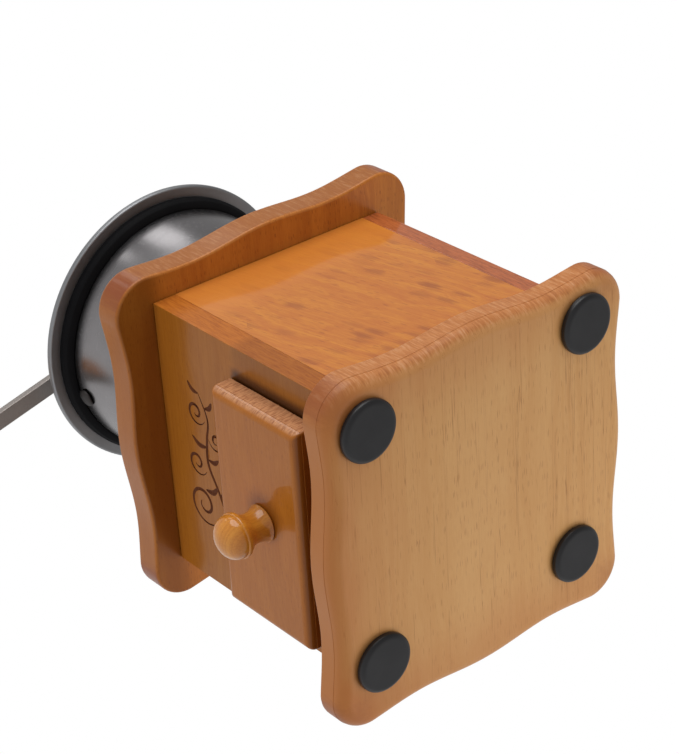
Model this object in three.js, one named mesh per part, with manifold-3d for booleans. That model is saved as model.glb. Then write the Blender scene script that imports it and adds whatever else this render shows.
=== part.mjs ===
// Hand-cranked box coffee grinder: two moulded square boards with waved sides, a four-panel box with a
// drawer in front, an open steel hopper bowl, conical burrs on a vertical spindle and a crank on top.
// Units are millimetres, +Z is up, -Y is the drawer side, z = 0 is the underside of the base board.
import * as THREE from 'three';
import { mergeVertices } from 'three/addons/utils/BufferGeometryUtils.js';
import Module from 'manifold-3d';

const wasm = await Module();
wasm.setup();

// ---- driving dimensions ----
const AIR = 0.3; // gap left between two pieces that bear on each other
const QUARTER = Math.PI / 2;
const BOARD = {
  half: 66, wave: 1.1, waveLength: 62, corner: 13, sidePoints: 14, cornerPoints: 5,
  thick: 11.5, roundOver: 4, step: 1.4, ease: 0.4, bury: 1, topEase: 1.2, throat: 24,
};
// Neither board is glued on square: offset from the spindle axis, and turn in degrees.
const BASE_SET = { x: -1.8, y: 0.9, turn: 0.6 };
const TOP_SET = { x: -0.8, y: 1.8, turn: -2.3 };
const FOOT = {
  radius: 11, height: 2.7, rim: 0.8,
  at: [[47.9, -49.3], [48.8, 47.4], [-42.1, 42.3], [-42.5, -48.2]],
};
const FOOT_NAMES = ['foot_front_right', 'foot_back_right', 'foot_back_left', 'foot_front_left'];
const BOX = { width: 106.5, depth: 103, height: 99.6, front: 9.5, back: 7.5, side: 9.5, ease: 0.6 };
const OPENING = { halfWidth: 36.2, bottom: 26, top: 64 };
const DRAWER = {
  x: -2.1, width: 86.2, height: 46, bottom: 22, stand: 0.5,
  thick: 9.2, roundOver: 3, step: 0.4, ease: 0.3, bury: 1,
  halfBox: 35.5, length: 85.7, floor: 3, wall: 6, underside: 26.5, rim: 63.3, backDrop: 2.5,
};
const RUNNER = { inner: 30, outer: 43.3, ledge: 26.2, guide: 36.3, guideTop: 40, length: 80 };
const KNOB = {
  x: -1.5, z: 43, foot: 6.9, neck: 5.5, head: 8.3, neckAt: 4.8, headAt: 9.6, rimAt: 12.4, length: 18.3,
};
const KNOB_SCREW = { shank: 1.8, head: 3.4, headHeight: 1.8, bite: 8 };
const BOWL = { mouth: 23, floor: 31, rim: 48.8, wall: 1.2, curveTop: 174.4, lipTop: 181.5, steps: 7 };
const RIM = { inner: 49.1, outer: 56.8, bottom: 179.2, top: 181.8, ease: 0.8 };
const COLLAR = { inner: 49.1, outer: 52.6, bottom: 174.7, top: 178.9, shoulder: 177 };
const HOPPER_SCREW = { circle: 27.6, phase: 90, shank: 1.5, head: 3, headHeight: 1.6, length: 10 };
const BRIDGE = { azimuth: -102, half: 46.4, width: 16, thick: 2.2, top: 178, tab: 13, hole: 5.5 };
const RIVET = { z: 170.4, shank: 1.6, head: 3.6, dome: 1.6 };
const SHAFT = { radius: 4, bottom: 73, top: 200.5 };
const TOP_BUSH = { inner: 4.3, outer: 5.2, flange: 8, bottom: 173.6, seat: 178.3, top: 180.4 };
const SPRING = { radius: 6, wire: 0.6, top: 173.3, bottom: 163.8, coils: 4.5, stepsPerCoil: 12 };
const SEAT_WASHER = { inner: 4.3, outer: 8, bottom: 162.3, thick: 1.2 };
const SHAFT_CLIP = { inner: 4.3, outer: 7, bottom: 160, thick: 2, mouth: 2.6 };
const HOUSING = {
  flange: 34, flangeBottom: 107.8, outer: 25.8, bore: 20.7, bottom: 81, lip: 17, lipTop: 84.7,
};
const HOUSING_SCREW = { circle: 30, phase: 30, shank: 1.5, head: 3, headHeight: 2, length: 12 };
const OUTER_BURR = {
  outer: 20.4, top: 103, bottom: 85, mouth: 18, waist: 13.8, waistAt: 92.5, exit: 15.8,
  teeth: 24, groove: 0.9,
};
const INNER_BURR = {
  bore: 4.3, top: 104, bottom: 86.6, crown: 8.5, belly: 11.8, bellyAt: 93, skirt: 14, edge: 2.2, teeth: 18,
  coarse: 1.4, fine: 0.5,
};
const STRAP = { half: 25.8, width: 12, bottom: 78.2, thick: 2.5, hole: 5.5, screwAt: 22.9 };
const STRAP_SCREW = { shank: 1.3, head: 2.6, headHeight: 1.6, length: 9 };
const LOW_BUSH = { inner: 4.3, outer: 5.2, flange: 7.5, bottom: 76.4, seat: 77.9, top: 83 };
const ADJUSTER = { radius: 11.6, scallop: 1.3, lobes: 8, bottom: 180.9, thick: 5, points: 48, ease: 0.5 };
const LOCK = { outer: 8.5, bottom: 186.2, thick: 1.2, tongue: 13.5, tongueHalf: 2 };
const SLEEVE = { outer: 6.5, bottom: 187.7, top: 190.7 };
const CRANK = {
  azimuth: -103.6, reach: 100, width: 7, thick: 3, bottom: 191, hub: 9.5, eye: 6.5, eyeHole: 2.8, ease: 0.4,
};
const CAP_NUT = { flat: 6.6, hexHeight: 4.5, dome: 5.6, bore: 4.3, boreDepth: 6.6 };
const GRIP = {
  gap: 0.9, foot: 7.5, waist: 6.4, belly: 11.5, waistAt: 4, bellyAt: 18, length: 31,
  recess: 5, recessDeep: 2.6,
};
const PIN = { shank: 2.5, head: 5, headHeight: 2, cap: 4.6, capHeight: 3 };

const BASE_TOP = BOARD.thick;
const BOX_BOTTOM = BASE_TOP + AIR;
const TOP_BOARD = BASE_TOP + BOX.height;
const BOX_TOP = TOP_BOARD - AIR;
const TOP_BOARD_TOP = TOP_BOARD + BOARD.thick;
const BOWL_BOTTOM = TOP_BOARD_TOP + AIR;
const FRONT_FACE = -BOX.depth / 2;
const PANEL_HEIGHT = BOX_TOP - BOX_BOTTOM;
const DRAWER_BACK_FACE = FRONT_FACE - DRAWER.stand;
const DRAWER_FACE = DRAWER_BACK_FACE - DRAWER.thick;
const DRAWER_START = DRAWER_BACK_FACE + AIR;

// ---- materials ----
function paint(color, roughness, metalness = 0) {
  return new THREE.MeshStandardMaterial({ color, roughness, metalness });
}

const WOOD = {
  beech: () => paint(0xc49a68, 0.42),
  stained: () => paint(0xb97842, 0.3),
  reddish: () => paint(0xa9663a, 0.3),
  plain: () => paint(0xcfb084, 0.6),
  turned: () => paint(0xcf8d3a, 0.25),
};
const METAL = {
  polished: () => paint(0xc9c9cb, 0.14, 1),
  satin: () => paint(0x9a9896, 0.38, 1),
  arm: () => paint(0x98928a, 0.42, 1),
  zinc: () => paint(0xb4b5b6, 0.35, 1),
  brass: () => paint(0xb8964a, 0.35, 1),
  dark: () => paint(0x5b5a58, 0.5, 1),
};
const blackRubber = () => paint(0x2b2a2b, 0.7);
const blackCollar = () => paint(0x141418, 0.4);

// ---- solids ----
function signedVolume(position, index) {
  const corner = [new THREE.Vector3(), new THREE.Vector3(), new THREE.Vector3()];
  let sum = 0;
  for (let i = 0; i < index.length; i += 3) {
    corner.forEach((v, k) => v.fromBufferAttribute(position, index[i + k]));
    sum += corner[0].dot(corner[1].cross(corner[2]));
  }
  return sum;
}

function toSolid(geometry) {
  const bare = geometry.clone();
  bare.deleteAttribute('normal');
  bare.deleteAttribute('uv');
  const merged = mergeVertices(bare);
  const corners = [];
  const index = merged.index.array;
  for (let i = 0; i < index.length; i += 3) {
    const [a, b, c] = [index[i], index[i + 1], index[i + 2]];
    if (a !== b && b !== c && a !== c) corners.push(a, b, c);
  }
  const inward = signedVolume(merged.attributes.position, corners) < 0;
  if (inward) corners.reverse();
  const vertProperties = Float32Array.from(merged.attributes.position.array);
  const triVerts = Uint32Array.from(corners);
  return new wasm.Manifold(new wasm.Mesh({ numProp: 3, vertProperties, triVerts }));
}

function fromSolid(solid) {
  const { vertProperties, triVerts } = solid.getMesh();
  const indexed = new THREE.BufferGeometry();
  indexed.setAttribute('position', new THREE.BufferAttribute(Float32Array.from(vertProperties), 3));
  indexed.setIndex(Array.from(triVerts));
  const geometry = indexed.toNonIndexed();
  geometry.computeVertexNormals();
  return geometry;
}

const moved = (geometry, x, y, z) => geometry.clone().translate(x, y, z);
const cut = (solid, ...tools) => tools.reduce((left, tool) => left.subtract(toSolid(tool)), solid);

// A profile of [radius, height] pairs turned about +Z.
function turned(profile, segments = 24) {
  const points = profile.map(([r, z]) => new THREE.Vector2(r, z));
  return new THREE.LatheGeometry(points, segments).rotateX(QUARTER);
}

// A straight drill from height z0 to z1.
function drill(radius, z0, z1, x = 0, y = 0, segments = 16) {
  return new THREE.CylinderGeometry(radius, radius, z1 - z0, segments)
    .rotateX(QUARTER)
    .translate(x, y, (z0 + z1) / 2);
}

// A block given by its low and high corners.
function block([x0, y0, z0], [x1, y1, z1]) {
  return new THREE.BoxGeometry(x1 - x0, y1 - y0, z1 - z0)
    .translate((x0 + x1) / 2, (y0 + y1) / 2, (z0 + z1) / 2);
}

function ring(inner, outer, z0, z1, segments) {
  return turned([[inner, z0], [outer, z0], [outer, z1], [inner, z1], [inner, z0]], segments);
}

// A plate from a shape in the XY plane, its edges eased, standing on z0.
function plate(shape, z0, thick, ease = 0, curveSegments = 12) {
  const geometry = new THREE.ExtrudeGeometry(shape, {
    depth: thick - 2 * ease, bevelEnabled: ease > 0, bevelThickness: ease, bevelSize: ease,
    bevelOffset: -ease, bevelSegments: 1, curveSegments,
  });
  return geometry.translate(0, 0, z0 + ease);
}

function circleHole(radius, x = 0, y = 0) {
  return new THREE.Path().absarc(x, y, radius, 0, 2 * Math.PI, true);
}

function onCircle(radius, phase, count) {
  return Array.from({ length: count }, (_, i) => {
    const a = THREE.MathUtils.degToRad(phase + (360 / count) * i);
    return [radius * Math.cos(a), radius * Math.sin(a)];
  });
}

// ---- outlines ----
// Square with waved sides: the middle of each side and the corners stand out, with a hollow between them.
function boardOutline(set, inset) {
  const reach = BOARD.half - BOARD.corner;
  const wave = (along) => BOARD.wave * Math.cos((2 * Math.PI * along) / BOARD.waveLength);
  const out = (along) => BOARD.half - inset + wave(along);
  const radius = out(reach) - reach;
  const axis = new THREE.Vector2();
  const centre = new THREE.Vector2(set.x, set.y);
  const points = [];
  for (let side = 0; side < 4; side += 1) {
    const turn = side * QUARTER + THREE.MathUtils.degToRad(set.turn);
    const put = (x, y) => points.push(new THREE.Vector2(x, y).rotateAround(axis, turn).add(centre));
    for (let i = 0; i <= BOARD.sidePoints; i += 1) {
      const along = reach * ((2 * i) / BOARD.sidePoints - 1);
      put(along, -out(along));
    }
    for (let i = 1; i < BOARD.cornerPoints; i += 1) {
      const a = QUARTER * (i / BOARD.cornerPoints - 1);
      put(reach + radius * Math.cos(a), -reach + radius * Math.sin(a));
    }
  }
  return new THREE.Shape(points);
}

const baseOutline = (inset) => boardOutline(BASE_SET, inset);
const topOutline = (inset) => boardOutline(TOP_SET, inset);

function roundedRectangle(width, height, corner) {
  const x = width / 2;
  const y = height / 2;
  const r = corner;
  return new THREE.Shape()
    .absarc(x - r, y - r, r, 0, QUARTER, false)
    .absarc(-x + r, y - r, r, QUARTER, 2 * QUARTER, false)
    .absarc(-x + r, -y + r, r, 2 * QUARTER, 3 * QUARTER, false)
    .absarc(x - r, -y + r, r, 3 * QUARTER, 4 * QUARTER, false);
}

// A slab whose lower face is rounded over, ends in a small step, and leaves a straight band above it.
function mouldedSlab(outline, size) {
  const band = plate(outline(0), size.roundOver, size.thick - size.roundOver, size.ease);
  const face = new THREE.ExtrudeGeometry(outline(size.step), {
    depth: size.bury, bevelEnabled: true, bevelThickness: size.roundOver, bevelSize: size.roundOver,
    bevelOffset: -size.roundOver, bevelSegments: 3,
  });
  return toSolid(band).add(toSolid(face.translate(0, 0, size.roundOver)));
}

// ---- case ----
const baseBoard = () => fromSolid(mouldedSlab(baseOutline, BOARD));

function topBoard() {
  const throughHoles = [
    drill(BOARD.throat, -1, BOARD.thick + 1, 0, 0, 36),
    ...onCircle(HOPPER_SCREW.circle, HOPPER_SCREW.phase, 3)
      .map(([x, y]) => drill(HOPPER_SCREW.shank + AIR, 1, BOARD.thick + 1, x, y)),
    ...onCircle(HOUSING_SCREW.circle, HOUSING_SCREW.phase, 3)
      .map(([x, y]) => drill(HOUSING_SCREW.shank + AIR, -1, BOARD.thick - 1, x, y)),
  ];
  const slab = toSolid(plate(topOutline(0), 0, BOARD.thick, BOARD.topEase));
  return fromSolid(cut(slab, ...throughHoles));
}

function foot() {
  const { radius, height, rim } = FOOT;
  return turned([[0, -height], [radius - rim, -height], [radius, rim - height], [radius, 0], [0, 0]], 24);
}

// A panel in the XZ plane, its outer face at local y = 0 and its back at +thick.
function uprightPanel(width, thick, holes = []) {
  const shape = new THREE.Shape()
    .moveTo(-width / 2, 0)
    .lineTo(width / 2, 0)
    .lineTo(width / 2, PANEL_HEIGHT)
    .lineTo(-width / 2, PANEL_HEIGHT);
  shape.holes.push(...holes);
  return plate(shape, -thick, thick, BOX.ease).rotateX(QUARTER);
}

function drawerOpening() {
  const { halfWidth, bottom, top } = OPENING;
  const low = bottom - BOX_BOTTOM;
  const high = top - BOX_BOTTOM;
  return new THREE.Path()
    .moveTo(-halfWidth, low)
    .lineTo(-halfWidth, high)
    .lineTo(halfWidth, high)
    .lineTo(halfWidth, low);
}

function sidePanel() {
  const y0 = FRONT_FACE + BOX.front + AIR;
  const y1 = -FRONT_FACE - BOX.back - AIR;
  return block([0, y0, BOX_BOTTOM], [BOX.side, y1, BOX_TOP]);
}

// Ledge under the drawer with a guide strip beside it, extruded front to back.
function drawerRunner(side) {
  const { inner, outer, ledge, guide, guideTop, length } = RUNNER;
  const shape = new THREE.Shape([
    [inner, BOX_BOTTOM], [outer, BOX_BOTTOM], [outer, guideTop],
    [guide, guideTop], [guide, ledge], [inner, ledge],
  ].map(([x, z]) => new THREE.Vector2(side * x, z)));
  return plate(shape, -length, length).rotateX(QUARTER);
}

// ---- drawer ----
function drawerOutline(inset) {
  const x = DRAWER.width / 2 - inset;
  const z = DRAWER.height / 2 - inset;
  return new THREE.Shape().moveTo(-x, -z).lineTo(x, -z).lineTo(x, z).lineTo(-x, z);
}

// The slab's moulded face looks along -Y; the knob screw passes through it.
function drawerFront() {
  const slab = fromSolid(mouldedSlab(drawerOutline, DRAWER)).rotateX(-QUARTER);
  const centre = DRAWER.bottom + DRAWER.height / 2;
  const hole = drill(KNOB_SCREW.shank + AIR, -1, DRAWER.thick + 1).rotateX(-QUARTER);
  return fromSolid(cut(toSolid(slab), moved(hole, KNOB.x - DRAWER.x, 0, KNOB.z - centre)));
}

function drawerSide(side) {
  const x = [side * (DRAWER.halfBox - DRAWER.wall), side * DRAWER.halfBox].sort((a, b) => a - b);
  const bottom = DRAWER.underside + DRAWER.floor + AIR;
  return block([x[0], DRAWER_START, bottom], [x[1], DRAWER_START + DRAWER.length, DRAWER.rim]);
}

function drawerBack() {
  const half = DRAWER.halfBox - DRAWER.wall - AIR;
  const end = DRAWER_START + DRAWER.length;
  const bottom = DRAWER.underside + DRAWER.floor + AIR;
  return block([-half, end - DRAWER.wall, bottom], [half, end, DRAWER.rim - DRAWER.backDrop]);
}

function drawerFloor() {
  const end = DRAWER_START + DRAWER.length;
  const top = DRAWER.underside + DRAWER.floor;
  return block([-DRAWER.halfBox, DRAWER_START, DRAWER.underside], [DRAWER.halfBox, end, top]);
}

// Turned knob standing on z = 0: flared foot, waisted neck, domed head with a crisp rim, blind screw hole.
function drawerKnob() {
  const { foot: footRadius, neck, head, neckAt, headAt, rimAt, length } = KNOB;
  const neckCurve = new THREE.CatmullRomCurve3([
    [footRadius, 0], [neck + 0.5, neckAt / 2], [neck, neckAt],
    [head * 0.75, (neckAt + headAt) / 2 + 0.6], [head, headAt],
  ].map(([r, z]) => new THREE.Vector3(r, z, 0)));
  const profile = [[0, 0], ...neckCurve.getPoints(7).map((p) => [p.x, p.y]), [head, rimAt]];
  for (let i = 1; i <= 4; i += 1) {
    const a = (QUARTER * i) / 4;
    profile.push([head * Math.cos(a) * 0.97, rimAt + (length - rimAt) * Math.sin(a)]);
  }
  profile[profile.length - 1][0] = 0;
  return fromSolid(cut(toSolid(turned(profile, 24)), drill(KNOB_SCREW.shank + AIR, -1, KNOB_SCREW.bite + 1)));
}

// Pan-head screw on z = 0: shank upwards, head below.
function panScrew({ shank, head, headHeight }, length) {
  return turned([
    [0, -headHeight], [head * 0.6, -headHeight], [head, -headHeight / 2], [head, 0], [shank, 0],
    [shank, length - shank], [0, length],
  ], 16);
}

// ---- hopper ----
// Wall curve from the flat floor up to a straight vertical lip, inset by the wall thickness when asked.
function bowlCurve(inset) {
  const floor = BOWL_BOTTOM + inset;
  return Array.from({ length: BOWL.steps + 1 }, (_, i) => {
    const a = (QUARTER * i) / BOWL.steps;
    const r = BOWL.floor + (BOWL.rim - inset - BOWL.floor) * Math.sin(a);
    return [r, floor + (BOWL.curveTop - floor) * (1 - Math.cos(a))];
  });
}

function hopperBowl() {
  const outside = [[BOWL.mouth, BOWL_BOTTOM], ...bowlCurve(0), [BOWL.rim, BOWL.lipTop]];
  const inside = [[BOWL.rim - BOWL.wall, BOWL.lipTop], ...bowlCurve(BOWL.wall).reverse(),
    [BOWL.mouth, BOWL_BOTTOM + BOWL.wall]];
  const shell = toSolid(turned([...outside, ...inside, outside[0]], 40));
  const screwHoles = onCircle(HOPPER_SCREW.circle, HOPPER_SCREW.phase, 3)
    .map(([x, y]) => drill(HOPPER_SCREW.shank + AIR, BOWL_BOTTOM - 1, BOWL_BOTTOM + BOWL.wall + 1, x, y));
  const rivetHole = drill(RIVET.shank + AIR, -BOWL.rim - 1, BOWL.rim + 1)
    .rotateY(QUARTER).translate(0, 0, RIVET.z).rotateZ(THREE.MathUtils.degToRad(BRIDGE.azimuth));
  return fromSolid(cut(shell, ...screwHoles, rivetHole));
}

function hopperRim() {
  const { inner, outer, bottom, top, ease } = RIM;
  return turned([
    [inner, bottom], [outer - ease, bottom], [outer, bottom + ease], [outer, top - ease], [outer - ease, top],
    [inner, top], [inner, bottom],
  ], 48);
}

function hopperCollar() {
  const { inner, outer, bottom, top, shoulder } = COLLAR;
  const mid = (inner + outer) / 2;
  return turned([
    [inner, bottom], [mid - 0.6, bottom + 0.4], [mid + 0.9, (bottom + shoulder) / 2], [outer, shoulder],
    [outer, top], [inner, top], [inner, bottom],
  ], 40);
}

// Strap across the bowl with both ends turned down against the wall, along local X.
function bridgeStrap() {
  const { half, thick, top, tab, width, hole } = BRIDGE;
  const low = top - tab;
  const under = top - thick;
  const inner = half - thick;
  const shape = new THREE.Shape([
    [-half, low], [-inner, low], [-inner, under], [inner, under],
    [inner, low], [half, low], [half, top], [-half, top],
  ].map(([x, z]) => new THREE.Vector2(x, z)));
  const strap = plate(shape, -width / 2, width).rotateX(QUARTER);
  const pinHole = drill(RIVET.shank + AIR, -half - 1, half + 1).rotateY(QUARTER).translate(0, 0, RIVET.z);
  return fromSolid(cut(toSolid(strap), drill(hole, under - 1, top + 1, 0, 0, 20), pinHole));
}

// Rivet along local +X from the inside head to the domed head outside the bowl.
function bridgeRivet() {
  const { shank, head, dome } = RIVET;
  const outside = BOWL.rim + AIR;
  const inside = BRIDGE.half - BRIDGE.thick - AIR;
  return turned([
    [0, inside - dome], [head * 0.6, inside - dome], [head * 0.85, inside], [shank, inside], [shank, outside],
    [head, outside], [head * 0.82, outside + dome * 0.7], [head * 0.4, outside + dome], [0, outside + dome],
  ], 18).rotateY(QUARTER);
}

// ---- spindle and burrs ----
function driveShaft() {
  const { radius, bottom, top } = SHAFT;
  return turned([
    [0, bottom], [radius - 1, bottom], [radius, bottom + 1], [radius, top - 1], [radius - 1, top], [0, top],
  ], 24);
}

function flangedBush({ inner, outer, flange, bottom, seat, top }, flangeUp) {
  const [lowRadius, highRadius] = flangeUp ? [outer, flange] : [flange, outer];
  return turned([
    [inner, bottom], [lowRadius, bottom], [lowRadius, seat], [highRadius, seat], [highRadius, top],
    [inner, top], [inner, bottom],
  ], 24);
}

class Helix extends THREE.Curve {
  getPoint(t) {
    const angle = 2 * Math.PI * SPRING.coils * t;
    const rise = SPRING.bottom + SPRING.wire + (SPRING.top - SPRING.bottom - 2 * SPRING.wire) * t;
    return new THREE.Vector3(SPRING.radius * Math.cos(angle), SPRING.radius * Math.sin(angle), rise);
  }
}

function shaftSpring() {
  const wire = new THREE.Shape().absarc(0, 0, SPRING.wire, 0, 2 * Math.PI, false);
  return new THREE.ExtrudeGeometry(wire, {
    steps: SPRING.coils * SPRING.stepsPerCoil, curveSegments: 3, extrudePath: new Helix(),
  });
}

// Open retaining clip on the shaft under the spring seat.
function shaftClip() {
  const { inner, outer, bottom, thick, mouth } = SHAFT_CLIP;
  const gap = block([0, -mouth, bottom - 1], [outer + 1, mouth, bottom + thick + 1]);
  return fromSolid(cut(toSolid(ring(inner, outer, bottom, bottom + thick, 24)), gap));
}

function burrHousing() {
  const { flange, flangeBottom, outer, bore, bottom, lip, lipTop } = HOUSING;
  const body = toSolid(turned([
    [lip, bottom], [outer, bottom], [outer, flangeBottom], [flange, flangeBottom], [flange, BOX_TOP],
    [bore, BOX_TOP], [bore, lipTop], [lip, lipTop], [lip, bottom],
  ], 36));
  const flangeHoles = onCircle(HOUSING_SCREW.circle, HOUSING_SCREW.phase, 3)
    .map(([x, y]) => drill(HOUSING_SCREW.shank + AIR, flangeBottom - 1, BOX_TOP + 1, x, y, 12));
  const strapHoles = [-STRAP.screwAt, STRAP.screwAt]
    .map((x) => drill(STRAP_SCREW.shank + AIR, bottom - 1, bottom + STRAP_SCREW.length, x, 0, 12));
  return fromSolid(cut(body, ...flangeHoles, ...strapHoles));
}

// Moves every second meridian of a turned solid to the radius given by reshape(radius, height).
function toothed(geometry, teeth, reshape) {
  const p = geometry.attributes.position;
  for (let i = 0; i < p.count; i += 1) {
    const r = Math.hypot(p.getX(i), p.getY(i));
    const turn = Math.atan2(p.getY(i), p.getX(i)) / (2 * Math.PI) + 1;
    const scale = Math.round(2 * teeth * turn) % 2 === 1 ? reshape(r, p.getZ(i)) / r : 1;
    p.setXY(i, p.getX(i) * scale, p.getY(i) * scale);
  }
  return fromSolid(toSolid(geometry));
}

// Ring whose funnel-shaped bore narrows to a waist and opens again; grooves run down the bore.
function outerBurr() {
  const { outer, top, bottom, mouth, waist, waistAt, exit, teeth, groove } = OUTER_BURR;
  const body = turned([
    [outer, top], [outer, bottom], [exit, bottom], [waist, waistAt], [mouth, top], [outer, top],
  ], 2 * teeth);
  return toothed(body, teeth, (r) => (r < outer - 1 ? r + groove : r));
}

// Cone whose teeth are coarse at the crown and fine at the skirt.
function innerBurr() {
  const { bore, top, bottom, crown, belly, bellyAt, skirt, edge, teeth, coarse, fine } = INNER_BURR;
  const body = turned([
    [bore, bottom], [skirt, bottom], [skirt - 0.6, bottom + edge], [belly, bellyAt], [crown, top - 1],
    [crown - 1.5, top], [bore, top], [bore, bottom],
  ], 2 * teeth);
  const depth = (z) => THREE.MathUtils.mapLinear(z, bottom, top, fine, coarse);
  return toothed(body, teeth, (r, z) => (r > bore + 1 ? r - depth(z) : r));
}

function bearingStrap() {
  const { half, width, bottom, thick, hole, screwAt } = STRAP;
  const shape = roundedRectangle(2 * half, width, width / 2 - 0.5);
  const screwHoles = [-screwAt, screwAt].map((x) => circleHole(STRAP_SCREW.shank + AIR, x));
  shape.holes.push(circleHole(hole), ...screwHoles);
  return plate(shape, bottom, thick, 0, 8);
}

// ---- grind adjustment ----
function adjusterNut() {
  const { radius, scallop, lobes, bottom, thick, points, ease } = ADJUSTER;
  const outline = Array.from({ length: points }, (_, i) => {
    const a = (2 * Math.PI * i) / points;
    const r = radius + scallop * Math.cos(lobes * a);
    return new THREE.Vector2(r * Math.cos(a), r * Math.sin(a));
  });
  const shape = new THREE.Shape(outline);
  const body = toSolid(plate(shape, bottom, thick, ease));
  return fromSolid(cut(body, drill(TOP_BUSH.inner, bottom - 1, bottom + thick + 1, 0, 0, 24)));
}

function lockPlate() {
  const { outer, bottom, thick, tongue, tongueHalf } = LOCK;
  const start = Math.asin(tongueHalf / outer);
  const shape = new THREE.Shape()
    .absarc(0, 0, outer, start, 2 * Math.PI - start, false)
    .lineTo(tongue, -tongueHalf)
    .lineTo(tongue, tongueHalf);
  shape.holes.push(circleHole(TOP_BUSH.inner));
  return plate(shape, bottom, thick);
}

// ---- crank ----
function crankArm() {
  const { reach, width, thick, bottom, hub, eye, eyeHole, ease } = CRANK;
  const hubStart = Math.asin(width / 2 / hub);
  const eyeStart = Math.asin(width / 2 / eye);
  const shape = new THREE.Shape()
    .absarc(0, 0, hub, hubStart, 2 * Math.PI - hubStart, false)
    .absarc(reach, 0, eye, Math.PI + eyeStart, 3 * Math.PI - eyeStart, false);
  const body = toSolid(plate(shape, bottom, thick, ease));
  const shaftHole = drill(TOP_BUSH.inner, bottom - 1, bottom + thick + 1, 0, 0, 24);
  return fromSolid(cut(body, shaftHole, drill(eyeHole, bottom - 1, bottom + thick + 1, reach, 0)));
}

function capNut() {
  const { flat, hexHeight, dome, bore, boreDepth } = CAP_NUT;
  const base = CRANK.bottom + CRANK.thick + AIR;
  const hex = drill(flat, base, base + hexHeight, 0, 0, 6);
  const arc = Array.from({ length: 5 }, (_, i) => {
    const a = (QUARTER * i) / 5;
    return [dome * Math.cos(a), base + hexHeight + dome * 0.8 * Math.sin(a)];
  });
  arc.push([0, base + hexHeight + dome * 0.8]);
  const top = turned([[0, base + 1], [dome, base + 1], ...arc], 24);
  return fromSolid(cut(toSolid(hex).add(toSolid(top)), drill(bore, base - 1, base + boreDepth, 0, 0, 24)));
}

function crankGrip() {
  const { foot: footRadius, waist, belly, waistAt, bellyAt, length, recess, recessDeep } = GRIP;
  const base = CRANK.bottom + CRANK.thick + GRIP.gap;
  const bore = CRANK.eyeHole;
  const curve = new THREE.CatmullRomCurve3([
    [footRadius, 0], [waist, waistAt], [belly * 0.86, (waistAt + bellyAt) / 2], [belly, bellyAt],
    [belly * 0.9, (bellyAt + length) / 2 + 2], [recess + 1.2, length - 0.4],
  ].map(([r, z]) => new THREE.Vector3(r, z, 0)));
  const skin = curve.getPoints(10).map((p) => [p.x, base + p.y]);
  const profile = [[bore, base], ...skin, [recess, base + length - 0.6], [recess, base + length - recessDeep],
    [bore, base + length - recessDeep], [bore, base]];
  return turned(profile, 24);
}

// Pin through the arm's eye and the grip: round head under the arm, shank to the floor of the recess.
function gripPin() {
  const { shank, head, headHeight } = PIN;
  const under = CRANK.bottom - AIR;
  const top = CRANK.bottom + CRANK.thick + GRIP.gap + GRIP.length - GRIP.recessDeep + AIR;
  return turned([
    [0, under - headHeight], [head * 0.7, under - headHeight], [head, under - headHeight * 0.4],
    [head, under], [shank, under], [shank, top], [0, top],
  ], 20);
}

function gripCap() {
  const { cap, capHeight } = PIN;
  const base = CRANK.bottom + CRANK.thick + GRIP.gap + GRIP.length - GRIP.recessDeep + 2 * AIR;
  return turned([
    [0, base], [cap, base], [cap, base + capHeight * 0.5], [cap * 0.8, base + capHeight * 0.85],
    [cap * 0.4, base + capHeight], [0, base + capHeight],
  ], 20);
}

// ---- assembly ----
const root = new THREE.Group();
root.name = 'coffee_grinder';

function group(parent, name) {
  const g = new THREE.Group();
  g.name = name;
  parent.add(g);
  return g;
}

function piece(parent, name, geometry, material, [x, y, z] = [0, 0, 0]) {
  const mesh = new THREE.Mesh(geometry, material);
  mesh.name = name;
  mesh.position.set(x, y, z);
  parent.add(mesh);
  return mesh;
}

function buildCase() {
  const body = group(root, 'case');
  piece(body, 'base_board', baseBoard(), WOOD.beech());
  FOOT.at.forEach(([x, y], i) => piece(body, FOOT_NAMES[i], foot(), blackRubber(), [x, y, -AIR]));
  piece(body, 'front_panel', uprightPanel(BOX.width, BOX.front, [drawerOpening()]), WOOD.stained(),
    [0, FRONT_FACE, BOX_BOTTOM]);
  piece(body, 'back_panel', uprightPanel(BOX.width, BOX.back), WOOD.stained(),
    [0, -FRONT_FACE - BOX.back, BOX_BOTTOM]);
  piece(body, 'right_panel', sidePanel(), WOOD.stained(), [BOX.width / 2 - BOX.side, 0, 0]);
  piece(body, 'left_panel', sidePanel(), WOOD.stained(), [-BOX.width / 2, 0, 0]);
  piece(body, 'top_board', topBoard(), WOOD.reddish(), [0, 0, TOP_BOARD]);
  const runnerBack = FRONT_FACE + BOX.front + AIR;
  piece(body, 'drawer_runner_right', drawerRunner(1), WOOD.plain(), [0, runnerBack, 0]);
  piece(body, 'drawer_runner_left', drawerRunner(-1), WOOD.plain(), [0, runnerBack, 0]);
}

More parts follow.
